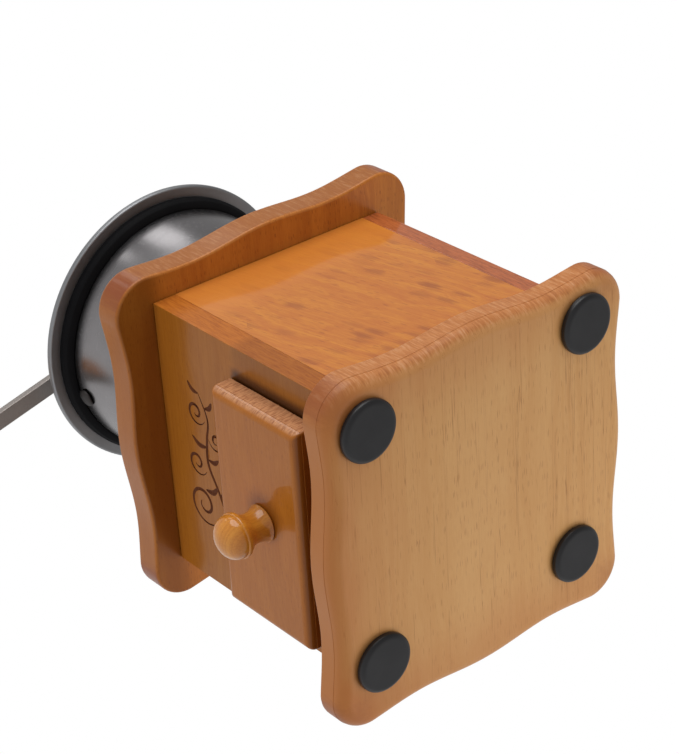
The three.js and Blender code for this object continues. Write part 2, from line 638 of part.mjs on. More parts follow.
function buildDrawer() {
  const drawer = group(root, 'drawer');
  const centre = DRAWER.bottom + DRAWER.height / 2;
  piece(drawer, 'drawer_front', drawerFront(), WOOD.stained(), [DRAWER.x, DRAWER_FACE, centre]);
  piece(drawer, 'drawer_side_right', drawerSide(1), WOOD.plain());
  piece(drawer, 'drawer_side_left', drawerSide(-1), WOOD.plain());
  piece(drawer, 'drawer_back', drawerBack(), WOOD.plain());
  piece(drawer, 'drawer_floor', drawerFloor(), WOOD.plain());
  const knob = piece(drawer, 'drawer_knob', drawerKnob(), WOOD.turned(), [KNOB.x, DRAWER_FACE - AIR, KNOB.z]);
  knob.rotation.x = QUARTER;
  const length = DRAWER.thick + AIR + KNOB_SCREW.bite;
  const screw = piece(drawer, 'drawer_knob_screw', panScrew(KNOB_SCREW, length), METAL.zinc(),
    [KNOB.x, DRAWER_BACK_FACE + AIR, KNOB.z]);
  screw.rotation.x = QUARTER;
}

function buildHopper() {
  const hopper = group(root, 'hopper');
  piece(hopper, 'hopper_bowl', hopperBowl(), METAL.polished());
  piece(hopper, 'hopper_collar', hopperCollar(), blackCollar());
  piece(hopper, 'hopper_rim', hopperRim(), METAL.satin());
  onCircle(HOPPER_SCREW.circle, HOPPER_SCREW.phase, 3).forEach(([x, y], i) => {
    const screw = piece(hopper, `hopper_screw_${i + 1}`, panScrew(HOPPER_SCREW, HOPPER_SCREW.length),
      METAL.zinc(), [x, y, BOWL_BOTTOM + BOWL.wall + AIR]);
    screw.rotation.x = Math.PI;
  });
  const bridge = group(hopper, 'bridge');
  bridge.rotation.z = THREE.MathUtils.degToRad(BRIDGE.azimuth);
  piece(bridge, 'bridge_strap', bridgeStrap(), METAL.satin());
  piece(bridge, 'bridge_rivet_front', bridgeRivet(), METAL.dark(), [0, 0, RIVET.z]);
  piece(bridge, 'bridge_rivet_back', bridgeRivet(), METAL.dark(), [0, 0, RIVET.z]).rotation.z = Math.PI;
  piece(hopper, 'top_bush', flangedBush(TOP_BUSH, true), METAL.brass());
}

function buildBurrs() {
  const unit = group(root, 'burr_unit');
  piece(unit, 'burr_housing', burrHousing(), METAL.dark());
  onCircle(HOUSING_SCREW.circle, HOUSING_SCREW.phase, 3).forEach(([x, y], i) => {
    piece(unit, `housing_screw_${i + 1}`, panScrew(HOUSING_SCREW, HOUSING_SCREW.length), METAL.zinc(),
      [x, y, HOUSING.flangeBottom - AIR]);
  });
  piece(unit, 'outer_burr', outerBurr(), METAL.zinc());
  piece(unit, 'bearing_strap', bearingStrap(), METAL.zinc());
  [-1, 1].forEach((side, i) => {
    piece(unit, `strap_screw_${i + 1}`, panScrew(STRAP_SCREW, STRAP_SCREW.length), METAL.zinc(),
      [side * STRAP.screwAt, 0, STRAP.bottom - AIR]);
  });
  piece(unit, 'low_bush', flangedBush(LOW_BUSH, false), METAL.brass());
}

function buildSpindle() {
  const spindle = group(root, 'spindle');
  piece(spindle, 'shaft_spring', shaftSpring(), METAL.zinc());
  const { inner, outer, bottom, thick } = SEAT_WASHER;
  piece(spindle, 'spring_seat', ring(inner, outer, bottom, bottom + thick, 24), METAL.zinc());
  piece(spindle, 'shaft_clip', shaftClip(), METAL.zinc());
  piece(spindle, 'drive_shaft', driveShaft(), METAL.zinc());
  piece(spindle, 'inner_burr', innerBurr(), METAL.zinc());
  piece(spindle, 'adjuster_nut', adjusterNut(), METAL.zinc());
  piece(spindle, 'lock_plate', lockPlate(), METAL.zinc());
  const sleeve = ring(TOP_BUSH.inner, SLEEVE.outer, SLEEVE.bottom, SLEEVE.top, 24);
  piece(spindle, 'crank_sleeve', sleeve, METAL.zinc());
  const crank = group(spindle, 'crank');
  crank.rotation.z = THREE.MathUtils.degToRad(CRANK.azimuth);
  piece(crank, 'crank_arm', crankArm(), METAL.arm());
  piece(crank, 'cap_nut', capNut(), METAL.zinc());
  piece(crank, 'grip_pin', gripPin(), METAL.zinc(), [CRANK.reach, 0, 0]);
  piece(crank, 'grip_cap', gripCap(), METAL.brass(), [CRANK.reach, 0, 0]);
  piece(crank, 'crank_grip', crankGrip(), WOOD.turned(), [CRANK.reach, 0, 0]);
}

buildCase();
buildDrawer();
buildHopper();
buildBurrs();
buildSpindle();

export default root;
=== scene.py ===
"""Looks of a hand-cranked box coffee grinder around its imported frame.

Lengths in the shape code are millimetres and become metres when a mesh is made.
+Z is up and -Y is the drawer side.
"""

import math

import bmesh
import bpy
from mathutils import Matrix, Vector


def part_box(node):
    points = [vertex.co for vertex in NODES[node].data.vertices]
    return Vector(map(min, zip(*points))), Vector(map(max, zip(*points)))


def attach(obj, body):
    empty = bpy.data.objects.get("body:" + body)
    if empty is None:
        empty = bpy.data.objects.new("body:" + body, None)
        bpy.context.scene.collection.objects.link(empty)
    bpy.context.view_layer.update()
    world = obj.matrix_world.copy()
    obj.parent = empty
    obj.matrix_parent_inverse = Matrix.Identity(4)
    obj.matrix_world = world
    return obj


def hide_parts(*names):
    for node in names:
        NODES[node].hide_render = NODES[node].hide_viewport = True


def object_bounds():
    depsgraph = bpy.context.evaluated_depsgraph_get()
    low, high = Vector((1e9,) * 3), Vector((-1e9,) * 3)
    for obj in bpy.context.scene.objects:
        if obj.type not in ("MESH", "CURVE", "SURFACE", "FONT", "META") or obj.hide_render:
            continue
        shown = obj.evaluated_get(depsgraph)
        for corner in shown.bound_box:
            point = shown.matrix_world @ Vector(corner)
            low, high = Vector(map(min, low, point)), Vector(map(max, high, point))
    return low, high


MM = 0.001
TURN = 2 * math.pi
AXES = {"X": 0, "Y": 1, "Z": 2}
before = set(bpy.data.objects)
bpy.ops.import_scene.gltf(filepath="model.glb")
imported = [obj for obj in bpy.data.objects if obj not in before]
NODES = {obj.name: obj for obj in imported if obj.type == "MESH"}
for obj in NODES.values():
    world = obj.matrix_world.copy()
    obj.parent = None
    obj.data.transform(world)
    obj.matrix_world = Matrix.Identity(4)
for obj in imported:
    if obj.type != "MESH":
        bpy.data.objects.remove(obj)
cad_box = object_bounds()

# ---- camera ----
CAMERA_PLACE = (0.38268, -0.40157, -0.43877)
CAMERA_AHEAD = Vector((-0.488994, 0.537532, 0.686982))
CAMERA_UP = Vector((0.870447, 0.351827, 0.344296))
CAMERA_LENS = 99.94


def make_camera():
    data = bpy.data.cameras.new("camera")
    data.lens = CAMERA_LENS
    data.clip_start = 0.01
    data.clip_end = 20
    camera = bpy.data.objects.new("camera", data)
    right = CAMERA_AHEAD.cross(CAMERA_UP).normalized()
    up = right.cross(CAMERA_AHEAD).normalized()
    axes = Matrix((right, up, -CAMERA_AHEAD)).transposed().to_4x4()
    camera.matrix_world = Matrix.Translation(CAMERA_PLACE) @ axes
    bpy.context.scene.collection.objects.link(camera)
    bpy.context.scene.camera = camera


make_camera()


# ---- shader helpers ----
def linear(red, green, blue):
    """An sRGB colour given as 0 to 255, as linear RGBA."""
    return tuple(
        (c / 255 / 12.92) if c <= 10 else ((c / 255 + 0.055) / 1.055) ** 2.4 for c in (red, green, blue)
    ) + (1.0,)


class Shader:
    """A material being built node by node."""

    def __init__(self, name):
        self.material = bpy.data.materials.new(name)
        self.material.use_nodes = True
        self.tree = self.material.node_tree
        self.tree.nodes.clear()
        self.surface = self.add("ShaderNodeBsdfPrincipled")
        output = self.add("ShaderNodeOutputMaterial")
        self.tree.links.new(self.surface.outputs[0], output.inputs[0])
        place = self.add("ShaderNodeTexCoord")
        scale = {0: place.outputs["Object"], 1: (1 / MM, 1 / MM, 1 / MM)}
        self.point = self.add("ShaderNodeVectorMath", scale, operation="MULTIPLY").outputs[0]
        self.normal = place.outputs["Normal"]
        parts = self.add("ShaderNodeSeparateXYZ", {0: self.point})
        self.x, self.y, self.z = parts.outputs

    def add(self, kind, inputs=None, **settings):
        node = self.tree.nodes.new(kind)
        for key, value in settings.items():
            setattr(node, key, value)
        for key, value in (inputs or {}).items():
            self.put(node, key, value)
        return node

    def put(self, node, key, value):
        if isinstance(value, bpy.types.NodeSocket):
            self.tree.links.new(value, node.inputs[key])
        else:
            node.inputs[key].default_value = value

    def set(self, **values):
        """Puts values or links on the surface's own sockets, named with _ for a space."""
        for key, value in values.items():
            self.put(self.surface, key.replace("_", " ").title().replace("Ior", "IOR"), value)

    def math(self, operation, a, b=0.0, c=0.0, clamp=False):
        made = self.add("ShaderNodeMath", {0: a, 1: b, 2: c}, operation=operation, use_clamp=clamp)
        return made.outputs[0]

    def vector(self, x, y, z):
        return self.add("ShaderNodeCombineXYZ", {0: x, 1: y, 2: z}).outputs[0]

    def facing(self, axis):
        """The normal's share along an axis, -1 to 1."""
        return self.add("ShaderNodeSeparateXYZ", {0: self.normal}).outputs[AXES[axis]]

    def radial(self, a, b):
        """Distance from the axis across two directions."""
        return self.math("SQRT", self.math("ADD", self.math("MULTIPLY", a, a), self.math("MULTIPLY", b, b)))

    def red(self, colour):
        """A colour's first channel, used as a random number of its cell."""
        return self.add("ShaderNodeSeparateColor", {0: colour}).outputs[0]

    def stretch(self, vector, scale):
        return self.add("ShaderNodeMapping", {0: vector, 3: scale}).outputs[0]

    def noise(self, vector, scale, detail=2.0, roughness=0.5, distortion=0.0):
        made = self.add("ShaderNodeTexNoise", {"Vector": vector, "Scale": scale, "Detail": detail,
                                               "Roughness": roughness, "Distortion": distortion})
        return made.outputs[0]

    def noise_line(self, value, scale, detail):
        made = self.add("ShaderNodeTexNoise", noise_dimensions="1D")
        for key, item in {"W": value, "Scale": scale, "Detail": detail}.items():
            self.put(made, key, item)
        return made.outputs[0]

    def cells(self, vector):
        """Distance to the nearest of scattered points, about 1 apart, and that point's own colour."""
        made = self.add("ShaderNodeTexVoronoi", {"Vector": vector, "Scale": 1.0})
        return made.outputs["Distance"], made.outputs["Color"]

    def span(self, value, low, high, to_low=0.0, to_high=1.0, smooth=False):
        kind = "SMOOTHSTEP" if smooth else "LINEAR"
        made = self.add("ShaderNodeMapRange", {0: value, 1: low, 2: high, 3: to_low, 4: to_high},
                        interpolation_type=kind)
        return made.outputs[0]

    def mix(self, share, a, b):
        return self.add("ShaderNodeMix", {0: share, 6: a, 7: b}, data_type="RGBA").outputs[2]

    def bump(self, height, strength, distance):
        values = {"Height": height, "Strength": strength, "Distance": distance * MM}
        return self.add("ShaderNodeBump", values).outputs[0]


# ---- wood ----
def wood(name, tone, deep, fleck, grain="X", heart=(0.0, -60.0), seed=0.0, figure=0.5, flecks=0.55, wave=2.5,
         coat=0.9, coat_roughness=0.1, roughness=0.42, end=None, edge=None, fleck_size=(3.2, 0.62),
         end_rays=(0.3, 1.7, 0.16), mottle=0.0, smudge=0.0, lines=0.0, slant=0.0):
    """Varnished wood.

    tone and deep are the light and dark growth bands, and fleck the short ray marks of fleck_size. grain is
    the axis that the fibres follow, slant how far they lean off it, and heart the pith's place across it.
    end gives the tones of cut ends and end_rays the stretch of their marks. mottle, smudge and lines are the
    amounts of cloudy figure, dark smears and long thin cracks. edge paints over the result, with stains and,
    for some woods, painted shade, a painted shadow and a painted reflection."""
    s = Shader(name)
    xyz = (s.x, s.y, s.z)
    along = xyz[AXES[grain]]
    across = [xyz[i] for i in range(3) if i != AXES[grain]]
    if slant:
        across[1] = s.math("MULTIPLY_ADD", along, slant, across[1])
    u = s.math("ADD", along, seed * 37.0)
    v = s.math("ADD", across[0], seed * 11.0)
    w = s.math("ADD", across[1], seed * 5.0)
    place = s.vector(u, v, w)

    drift = s.noise(s.stretch(place, (0.012, 0.035, 0.035)), 1.0, 2.0)
    ripple = s.noise(s.stretch(place, (0.05, 0.12, 0.12)), 1.0, 3.0, 0.6)
    shift = s.math("MULTIPLY_ADD", drift, 22.0, s.math("MULTIPLY", ripple, wave))
    dv = s.math("ADD", s.math("SUBTRACT", across[0], heart[0]), shift)
    dw = s.math("SUBTRACT", across[1], heart[1])
    radius = s.radial(dv, dw)
    broad = s.noise_line(radius, 0.22, 1.0)
    narrow = s.noise_line(radius, 0.946, 2.0)
    band = s.math("MULTIPLY_ADD", narrow, 0.35, s.math("MULTIPLY", broad, 0.65))
    band = s.span(band, 0.36, 0.66, smooth=True)

    streak = s.noise(s.stretch(place, (0.09, 2.4, 2.4)), 1.0, 3.0, 0.65)
    thread = s.noise(s.stretch(place, (0.35, 7.0, 7.0)), 1.0, 2.0, 0.6)
    blotch = s.noise(s.stretch(place, (0.018, 0.03, 0.03)), 1.0, 2.0, 0.55)

    length, width = fleck_size
    spot, pick = s.cells(s.stretch(place, (1 / length, 1 / width, 1 / width)))
    picked = s.span(s.red(pick), 0.35, 0.9)
    mark = s.math("MULTIPLY", s.span(spot, 0.36, 0.16, smooth=True), picked)

    share = s.math("MULTIPLY_ADD", s.span(streak, 0.35, 0.7), 0.35, s.math("MULTIPLY", band, figure))
    share = s.math("MULTIPLY_ADD", s.span(thread, 0.4, 0.75), 0.18, share, clamp=True)
    colour = s.mix(share, tone, deep)
    colour = s.mix(s.span(blotch, 0.38, 0.72, 0.0, 0.35), colour, deep)
    if mottle:
        curl = s.noise(s.stretch(place, (0.16, 0.42, 0.42)), 1.0, 4.0, 0.65, 0.6)
        colour = s.mix(s.span(curl, 0.46, 0.66, 0.0, mottle), colour, deep)
    if lines:
        split = s.noise(s.stretch(place, (0.009, 0.5, 0.5)), 1.0, 2.0, 0.5, 0.2)
        thin = s.math("ABSOLUTE", s.math("SUBTRACT", split, 0.6))
        colour = s.mix(s.span(thin, 0.012, 0.002, 0.0, lines, smooth=True), colour, fleck)
    if smudge:
        soft, chance = s.cells(s.stretch(place, (0.085, 0.2, 0.2)))
        seldom = s.span(s.red(chance), 0.55, 0.9)
        ragged = s.math("MULTIPLY_ADD", s.span(streak, 0.3, 0.7), 0.25, s.math("MULTIPLY", soft, -1.0))
        spot_mask = s.math("MULTIPLY", s.span(ragged, -0.42, -0.05, smooth=True), seldom)
        colour = s.mix(s.math("MULTIPLY", spot_mask, smudge), colour, fleck)
    colour = s.mix(s.math("MULTIPLY", mark, flecks), colour, fleck)
    if end is not None:
        cut = s.span(s.math("ABSOLUTE", s.facing(grain)), 0.55, 0.9, smooth=True)
        rays = s.noise(s.stretch(place, end_rays), 1.0, 3.0, 0.7)
        dots, _ = s.cells(s.stretch(place, tuple(0.65 * r + 0.15 for r in end_rays)))
        ray = s.math("MULTIPLY_ADD", s.span(dots, 0.3, 0.12), 0.4, s.span(rays, 0.42, 0.72), clamp=True)
        end_tone, end_deep = end
        colour = s.mix(cut, colour, s.mix(ray, end_tone, end_deep))
    if edge is not None:
        colour = edge(s, colour)
    pores = s.math("MULTIPLY_ADD", mark, -0.6, s.math("MULTIPLY", thread, 0.5))
    s.set(base_color=colour, roughness=s.span(streak, 0.3, 0.7, roughness - 0.05, roughness + 0.08),
          normal=s.bump(pores, 0.25, 0.05), specular_ior_level=0.12,
          coat_weight=coat, coat_roughness=coat_roughness, coat_ior=1.5)
    return s.material


def painted_shade_below(tone, amount):
    """Paints shade onto the faces that look down, darkening them."""
    def paint(s, colour):
        return s.mix(s.span(s.facing("Z"), -0.35, -0.95, 0.0, amount, smooth=True), colour, tone)
    return paint


def soaked_corners(s, colour, amount=0.6):
    """The end grain at a board's corners takes the stain up darker, in ragged patches."""
    lesser = s.math("MINIMUM", s.math("ABSOLUTE", s.x), s.math("ABSOLUTE", s.y))
    ragged = s.noise(s.stretch(s.point, (0.5, 0.5, 0.12)), 1.0, 4.0, 0.7)
    reach = s.span(s.math("MULTIPLY_ADD", ragged, 12.0, lesser), 57.0, 66.0, smooth=True)
    return s.mix(s.math("MULTIPLY", reach, amount), colour, SOAKED)


def ribbed_ends(s, colour, amount):
    """Dark and pale ribs across the grain where a board's edge cuts it."""
    cut = s.math("MULTIPLY", s.span(s.math("ABSOLUTE", s.facing("X")), 0.3, 0.8, smooth=True), amount)
    ribs = s.noise(s.stretch(s.point, (0.14, 0.95, 0.14)), 1.0, 4.0, 0.75)
    colour = s.mix(s.math("MULTIPLY", cut, s.span(ribs, 0.5, 0.68, 0.0, 0.55)), colour, RIB_DARK)
    return s.mix(s.math("MULTIPLY", cut, s.span(ribs, 0.5, 0.34, 0.0, 0.45)), colour, RIB_PALE)


def painted_reflection_above(low, high, tone, amount):
    """Hides a panel's figure under an even tone towards its top, a painted reflection of the top board's
    underside.
    """
    def paint(s, colour):
        uneven = s.noise(s.stretch(s.point, (0.05, 0.05, 0.02)), 1.0, 2.0)
        rise = s.span(s.math("MULTIPLY_ADD", uneven, 14.0, s.z), low + 7.0, high + 7.0, smooth=True)
        return s.mix(s.math("MULTIPLY", rise, amount), colour, tone)
    return paint


def stained_above(low, high, tone, amount):
    """Mixes a stain into the colour above a height, full from the second level on, and a little of it near
    the edges of the face below."""
    def paint(s, colour):
        soft = s.noise(s.stretch(s.point, (0.02, 0.05, 0.05)), 1.0, 3.0, 0.6)
        forward = s.math("MULTIPLY_ADD", soft, 24.0, s.math("MULTIPLY", s.y, -1.0))
        sideways = s.math("MULTIPLY_ADD", soft, 20.0, s.math("ABSOLUTE", s.x))
        near_front = s.span(forward, 26.0, 78.0, smooth=True)
        near_side = s.span(sideways, 44.0, 76.0, smooth=True)
        rim = s.span(forward, 58.0, 82.0, smooth=True)
        front = s.math("MULTIPLY_ADD", rim, 0.4, s.math("MULTIPLY", near_front, 0.45))
        near = s.math("MULTIPLY_ADD", near_side, 0.45, front, clamp=True)
        colour = s.mix(near, colour, tone)
        rise = s.span(s.z, low, high, smooth=True)
        worn = s.span(s.noise(s.stretch(s.point, (0.12, 0.12, 0.5)), 1.0, 3.0), 0.3, 0.75, 0.8, 1.0)
        colour = s.mix(s.math("MULTIPLY", rise, s.math("MULTIPLY", worn, amount)), colour, tone)
        colour = ribbed_ends(s, colour, 1.0)
        edge_only = s.span(s.z, 0.8, 4.5, 0.4, 1.0, smooth=True)
        return s.mix(edge_only, colour, soaked_corners(s, colour))
    return paint


def painted_shade_front(level, tone, amount):
    """Paints shade onto the front of the underside, which lies at a height, and stains the board's edge above
    it.
    """
    def paint(s, colour):
        under = s.span(s.z, level + 0.1, level + 0.8, 1.0, 0.0)
        front = s.span(s.y, -44.0, -54.0, 0.0, amount, smooth=True)
        colour = s.mix(s.math("MULTIPLY", front, under), colour, tone)
        above = s.span(s.z, level + 0.2, level + 1.2)
        wall = s.math("MULTIPLY", above, s.span(s.z, level + 10.4, level + 11.3, 1.0, 0.0))
        sideways = s.span(s.math("ABSOLUTE", s.facing("X")), 0.3, 0.8, 0.0, 0.4, smooth=True)
        stained = s.mix(sideways, s.mix(0.7, colour, WALL_STAIN), tone)
        return s.mix(wall, colour, soaked_corners(s, ribbed_ends(s, stained, 0.5), 0.8))
    return paint


def painted_drawer_shadow(side, low, high, tone, amount):
    """Paints the drawer's shadow onto a panel from side on along x, where the drawer's right end is, between
    two heights.
    """
    def paint(s, colour):
        ragged = s.noise(s.stretch(s.point, (0.3, 0.3, 0.12)), 1.0, 3.0, 0.6)
        beside = s.span(s.math("MULTIPLY_ADD", ragged, 2.0, s.x), side + 0.5, side + 1.5, smooth=True)
        fade = s.span(s.x, side + 2.5, side + 6.5, 1.0, 0.25, smooth=True)
        level = s.math("MULTIPLY_ADD", ragged, 3.0, s.z)
        over = s.span(level, low, low + 5.0, smooth=True)
        under = s.span(level, high - 3.0, high + 3.0, 1.0, 0.0, smooth=True)
        share = s.math("MULTIPLY", s.math("MULTIPLY", beside, fade), s.math("MULTIPLY", over, under))
        return s.mix(s.math("MULTIPLY", share, amount), colour, tone)
    return paint


# ---- metal and rubber ----
def darker(tone, share):
    return tuple(share * c for c in tone[:3]) + (1.0,)


def metal(name, tone, roughness, lines="round", depth=0.15, dull=0.12, inner=None, painted_top_light=None):
    """Metal with fine tool marks: round for turned work, along for drawn or brushed bar, cast for a grainy
    skin. inner is a lighter tone painted on a hollow piece's inside, which faces the spindle axis, and upper
    on its top: painted light."""
    s = Shader(name)
    if lines == "round":
        far = s.math("MULTIPLY", s.radial(s.x, s.y), 5.0)
        marks = s.noise(s.vector(far, s.math("MULTIPLY", s.z, 5.0), 0.0), 1.0, 3.0, 0.7)
    elif lines == "along":
        marks = s.noise(s.stretch(s.point, (0.12, 6.0, 6.0)), 1.0, 3.0, 0.7)
    else:
        marks = s.noise(s.point, 1.6, 5.0, 0.7)
    cloud = s.noise(s.point, 0.09, 3.0, 0.6)
    smear = s.noise(s.point, 0.6, 2.0, 0.5)
    # painted light: a lighter inside, or a lighter top, of the same metal
    if inner:
        outward = s.add("ShaderNodeVectorMath", {0: s.normal, 1: s.vector(s.x, s.y, 0.0)},
                        operation="DOT_PRODUCT")
        base = s.mix(s.span(outward.outputs["Value"], -4.0, 4.0), inner, tone)
    elif painted_top_light:
        base = s.mix(s.span(s.facing("Z"), 0.3, 0.9, smooth=True), tone, painted_top_light)
    else:
        base = tone
    shade = s.mix(s.span(cloud, 0.35, 0.7, 0.0, 0.5), base, darker(tone, 0.8))
    shade = s.mix(s.span(marks, 0.35, 0.75, 0.0, 0.18), shade, darker(tone, 0.55))
    rough = s.math("MULTIPLY_ADD", s.span(marks, 0.3, 0.7), dull, roughness)
    rough = s.math("MULTIPLY_ADD", s.span(smear, 0.4, 0.8), dull * 0.5, rough, clamp=True)
    s.set(base_color=shade, metallic=1.0, roughness=rough, normal=s.bump(marks, depth, 0.02))
    return s.material


def rubber(name, tone, wear, roughness, shine):
    s = Shader(name)
    grain = s.noise(s.point, 3.0, 4.0, 0.6)
    cloud = s.noise(s.point, 0.12, 3.0, 0.5)
    colour = s.mix(s.span(cloud, 0.35, 0.75, 0.0, 0.8), tone, wear)
    colour = s.mix(s.span(grain, 0.55, 0.8, 0.0, 0.4), colour, wear)
    s.set(base_color=colour, roughness=s.span(grain, 0.3, 0.7, roughness - 0.08, roughness + 0.1),
          normal=s.bump(grain, 0.35, 0.05), specular_ior_level=shine)
    return s.material


BASE_UNDER = linear(216, 166, 108)
STAIN = linear(173, 107, 32)
STAIN_DEEP = linear(148, 85, 22)
FLECK = linear(112, 54, 16)
EDGE_STAIN = linear(188, 119, 64)
SOAKED = linear(138, 70, 40)
WALL_STAIN = linear(164, 98, 44)
RIB_DARK = linear(150, 86, 46)
RIB_PALE = linear(222, 172, 128)
TOP_BOARD_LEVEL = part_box("top_board")[0].z / MM

WOOD = {
    "base": wood(
        "beech_base", BASE_UNDER, linear(203, 148, 88), linear(158, 104, 58), "X", (12.0, -75.0), 1.0,
        figure=0.5, flecks=0.54, fleck_size=(5.6, 0.46), mottle=0.25, lines=0.6,
        coat=0.3, coat_roughness=0.35,
        end=(linear(205, 135, 80), linear(160, 92, 48)),
        edge=stained_above(0.2, 3.4, EDGE_STAIN, 0.85)),
    "top": wood(
        "beech_top", linear(200, 124, 44), linear(168, 96, 30), FLECK, "X", (-8.0, 60.0), 2.0,
        mottle=0.35, coat=0.4, coat_roughness=0.2,
        end=(linear(212, 134, 62), linear(174, 98, 40)),
        # painted shade on the front of the top board's underside
        edge=painted_shade_front(TOP_BOARD_LEVEL, linear(124, 68, 14), 0.6)),
    "front": wood(
        "beech_front", STAIN, STAIN_DEEP, FLECK, "X", (30.0, 45.0), 3.0,
        figure=0.3, flecks=0.3, coat=0.34, coat_roughness=0.16,
        end=(linear(186, 108, 36), linear(156, 80, 22)),
        # painted shadow of the drawer on the front panel beside its right end
        edge=painted_drawer_shadow(40.0, 20.0, 68.0, linear(58, 30, 16), 0.85)),
    "side": wood(
        "beech_side", linear(212, 136, 42), linear(188, 104, 36), linear(150, 76, 30), "Z", (40.0, 5.0), 4.0,
        figure=0.55, flecks=0.5, wave=9.0, fleck_size=(5.0, 0.9), mottle=0.5, smudge=0.65, slant=0.22,
        # painted reflection of the top board's underside along the side panel's top
        edge=painted_reflection_above(78.0, 96.0, linear(210, 128, 52), 0.7)),
    "back": wood(
        "beech_back", STAIN, STAIN_DEEP, FLECK, "X", (80.0, 20.0), 5.0,
        end=(linear(184, 100, 52), linear(140, 70, 34))),
    "drawer": wood(
        "beech_drawer", linear(186, 113, 36), linear(160, 90, 24), FLECK, "X", (-90.0, 30.0), 6.0,
        figure=0.3, flecks=0.3, coat=0.42, coat_roughness=0.05,
        end=(linear(204, 146, 102), linear(148, 90, 58)), end_rays=(0.3, 0.28, 1.5),
        # painted shade on the drawer front's downward faces
        edge=painted_shade_below(linear(92, 48, 16), 0.6)),
    "inside": wood(
        "plain_wood", linear(214, 184, 140), linear(194, 158, 110), linear(160, 120, 80), "Y",
        (0.0, -90.0), 7.0, coat=0.0, roughness=0.6, end=(linear(200, 165, 120), linear(160, 120, 80))),
    "knob": wood(
        "amber_knob", linear(224, 152, 54), linear(190, 110, 28), linear(160, 90, 30), "Y", (6.0, 2.0), 8.0,
        figure=0.5, flecks=0.3, fleck_size=(2.0, 0.5), coat_roughness=0.04),
    "grip": wood(
        "amber_grip", linear(214, 142, 60), linear(186, 108, 38), linear(150, 86, 30), "Z", (6.0, 2.0), 9.0,
        figure=0.5, flecks=0.3, fleck_size=(2.0, 0.5), coat_roughness=0.05),
}
BURNT = wood(
    "burnt_groove", linear(108, 60, 34), linear(82, 42, 22), linear(58, 30, 16), "X", (0.0, 0.0), 3.0,
    coat=0.1, coat_roughness=0.4, roughness=0.7)
METAL = {
    # painted light: the polished bowl's inside is painted lighter than its outside
    "polished": metal("polished_steel", linear(142, 139, 140), 0.22, "round", 0.05, 0.05,
                      inner=linear(226, 225, 226)),
    # painted light: the rim's top and the arm's top are painted lighter
    "satin": metal("satin_steel", linear(148, 149, 151), 0.42, "round", 0.12, painted_top_light=linear(214, 214, 216)),
    "arm": metal("brushed_arm", linear(160, 153, 148), 0.5, "along", 0.12, painted_top_light=linear(204, 200, 196)),
    "zinc": metal("plated_steel", linear(186, 186, 188), 0.32, "round", 0.1),
    "bright": metal("bright_steel", linear(206, 206, 208), 0.18, "round", 0.06, 0.06),
    "brass": metal("turned_brass", linear(196, 160, 86), 0.3, "round", 0.1),
    "iron": metal("cast_iron", linear(110, 108, 106), 0.5, "cast", 0.5, 0.2),
    "burr": metal("hard_iron", linear(130, 128, 126), 0.4, "cast", 0.25, 0.15),
    "rivet": metal("dark_rivet", linear(70, 67, 66), 0.45, "round", 0.1),
}
RUBBER = rubber("black_rubber", linear(19, 18, 20), linear(29, 28, 30), 0.38, shine=0.4)
COLLAR = rubber("black_collar", linear(7, 7, 9), linear(12, 12, 14), 0.7, shine=0.12)


# ---- mesh helpers ----
SHARP_ANGLE = 30.0
ON_AXIS = 1e-6
SAME_POINT = 1e-5


def settle(name, body, material, mesh, replaces=(), crease=35.0, place=None):
    """Makes the object of a finished mesh in millimetres: scaled, smooth-shaded, on its body."""
    mesh.transform(Matrix.Scale(MM, 4) @ (place or Matrix()))
    mesh.polygons.foreach_set("use_smooth", [True] * len(mesh.polygons))
    mesh.set_sharp_from_angle(angle=math.radians(crease))
    mesh.materials.append(material)
    made = bpy.data.objects.new(name, mesh)
    bpy.context.scene.collection.objects.link(made)
    even = made.modifiers.new("even_normals", "WEIGHTED_NORMAL")
    even.keep_sharp = True
    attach(made, body)
    if replaces:
        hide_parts(*replaces)
    return made


def to_mesh(name, work):
    bmesh.ops.remove_doubles(work, verts=work.verts, dist=SAME_POINT)
    bmesh.ops.recalc_face_normals(work, faces=work.faces)
    mesh = bpy.data.meshes.new(name)
    work.to_mesh(mesh)
    work.free()
    return mesh


def soften(points, radius, closed=False, steps=4, least=20.0):
    """Rounds the corners of a line of 2-D points."""
    count = len(points)
    made = []
    for i, (px, py) in enumerate(points):
        if not closed and i in (0, count - 1):
            made.append((px, py))
            continue
        here = Vector((px, py))
        back = Vector(points[i - 1]) - here
        ahead = Vector(points[(i + 1) % count]) - here
        turn = 180 - math.degrees(back.angle(ahead)) if back.length * ahead.length else 0
        if turn < least:
            made.append((px, py))
            continue
        reach = min(radius, 0.45 * back.length, 0.45 * ahead.length)
        a = here + back.normalized() * reach
        b = here + ahead.normalized() * reach
        for k in range(steps + 1):
            t = k / steps
            p = a * (1 - t) ** 2 + here * 2 * t * (1 - t) + b * t ** 2
            made.append((p.x, p.y))
    return made


def rings_to_mesh(name, rings, closed=False):
    """A skin over rings of equally many 3-D points. closed joins the last ring to the first."""
    work = bmesh.new()
    rows = [[work.verts.new(p) for p in ring] for ring in rings]
    pairs = list(zip(rows, rows[1:])) + ([(rows[-1], rows[0])] if closed else [])
    for low, high in pairs:
        for i in range(len(low)):
            k = (i + 1) % len(low)
            work.faces.new((low[i], low[k], high[k], high[i]))
    if not closed:
        work.faces.new(list(reversed(rows[0])))
        work.faces.new(rows[-1])
    return to_mesh(name, work)


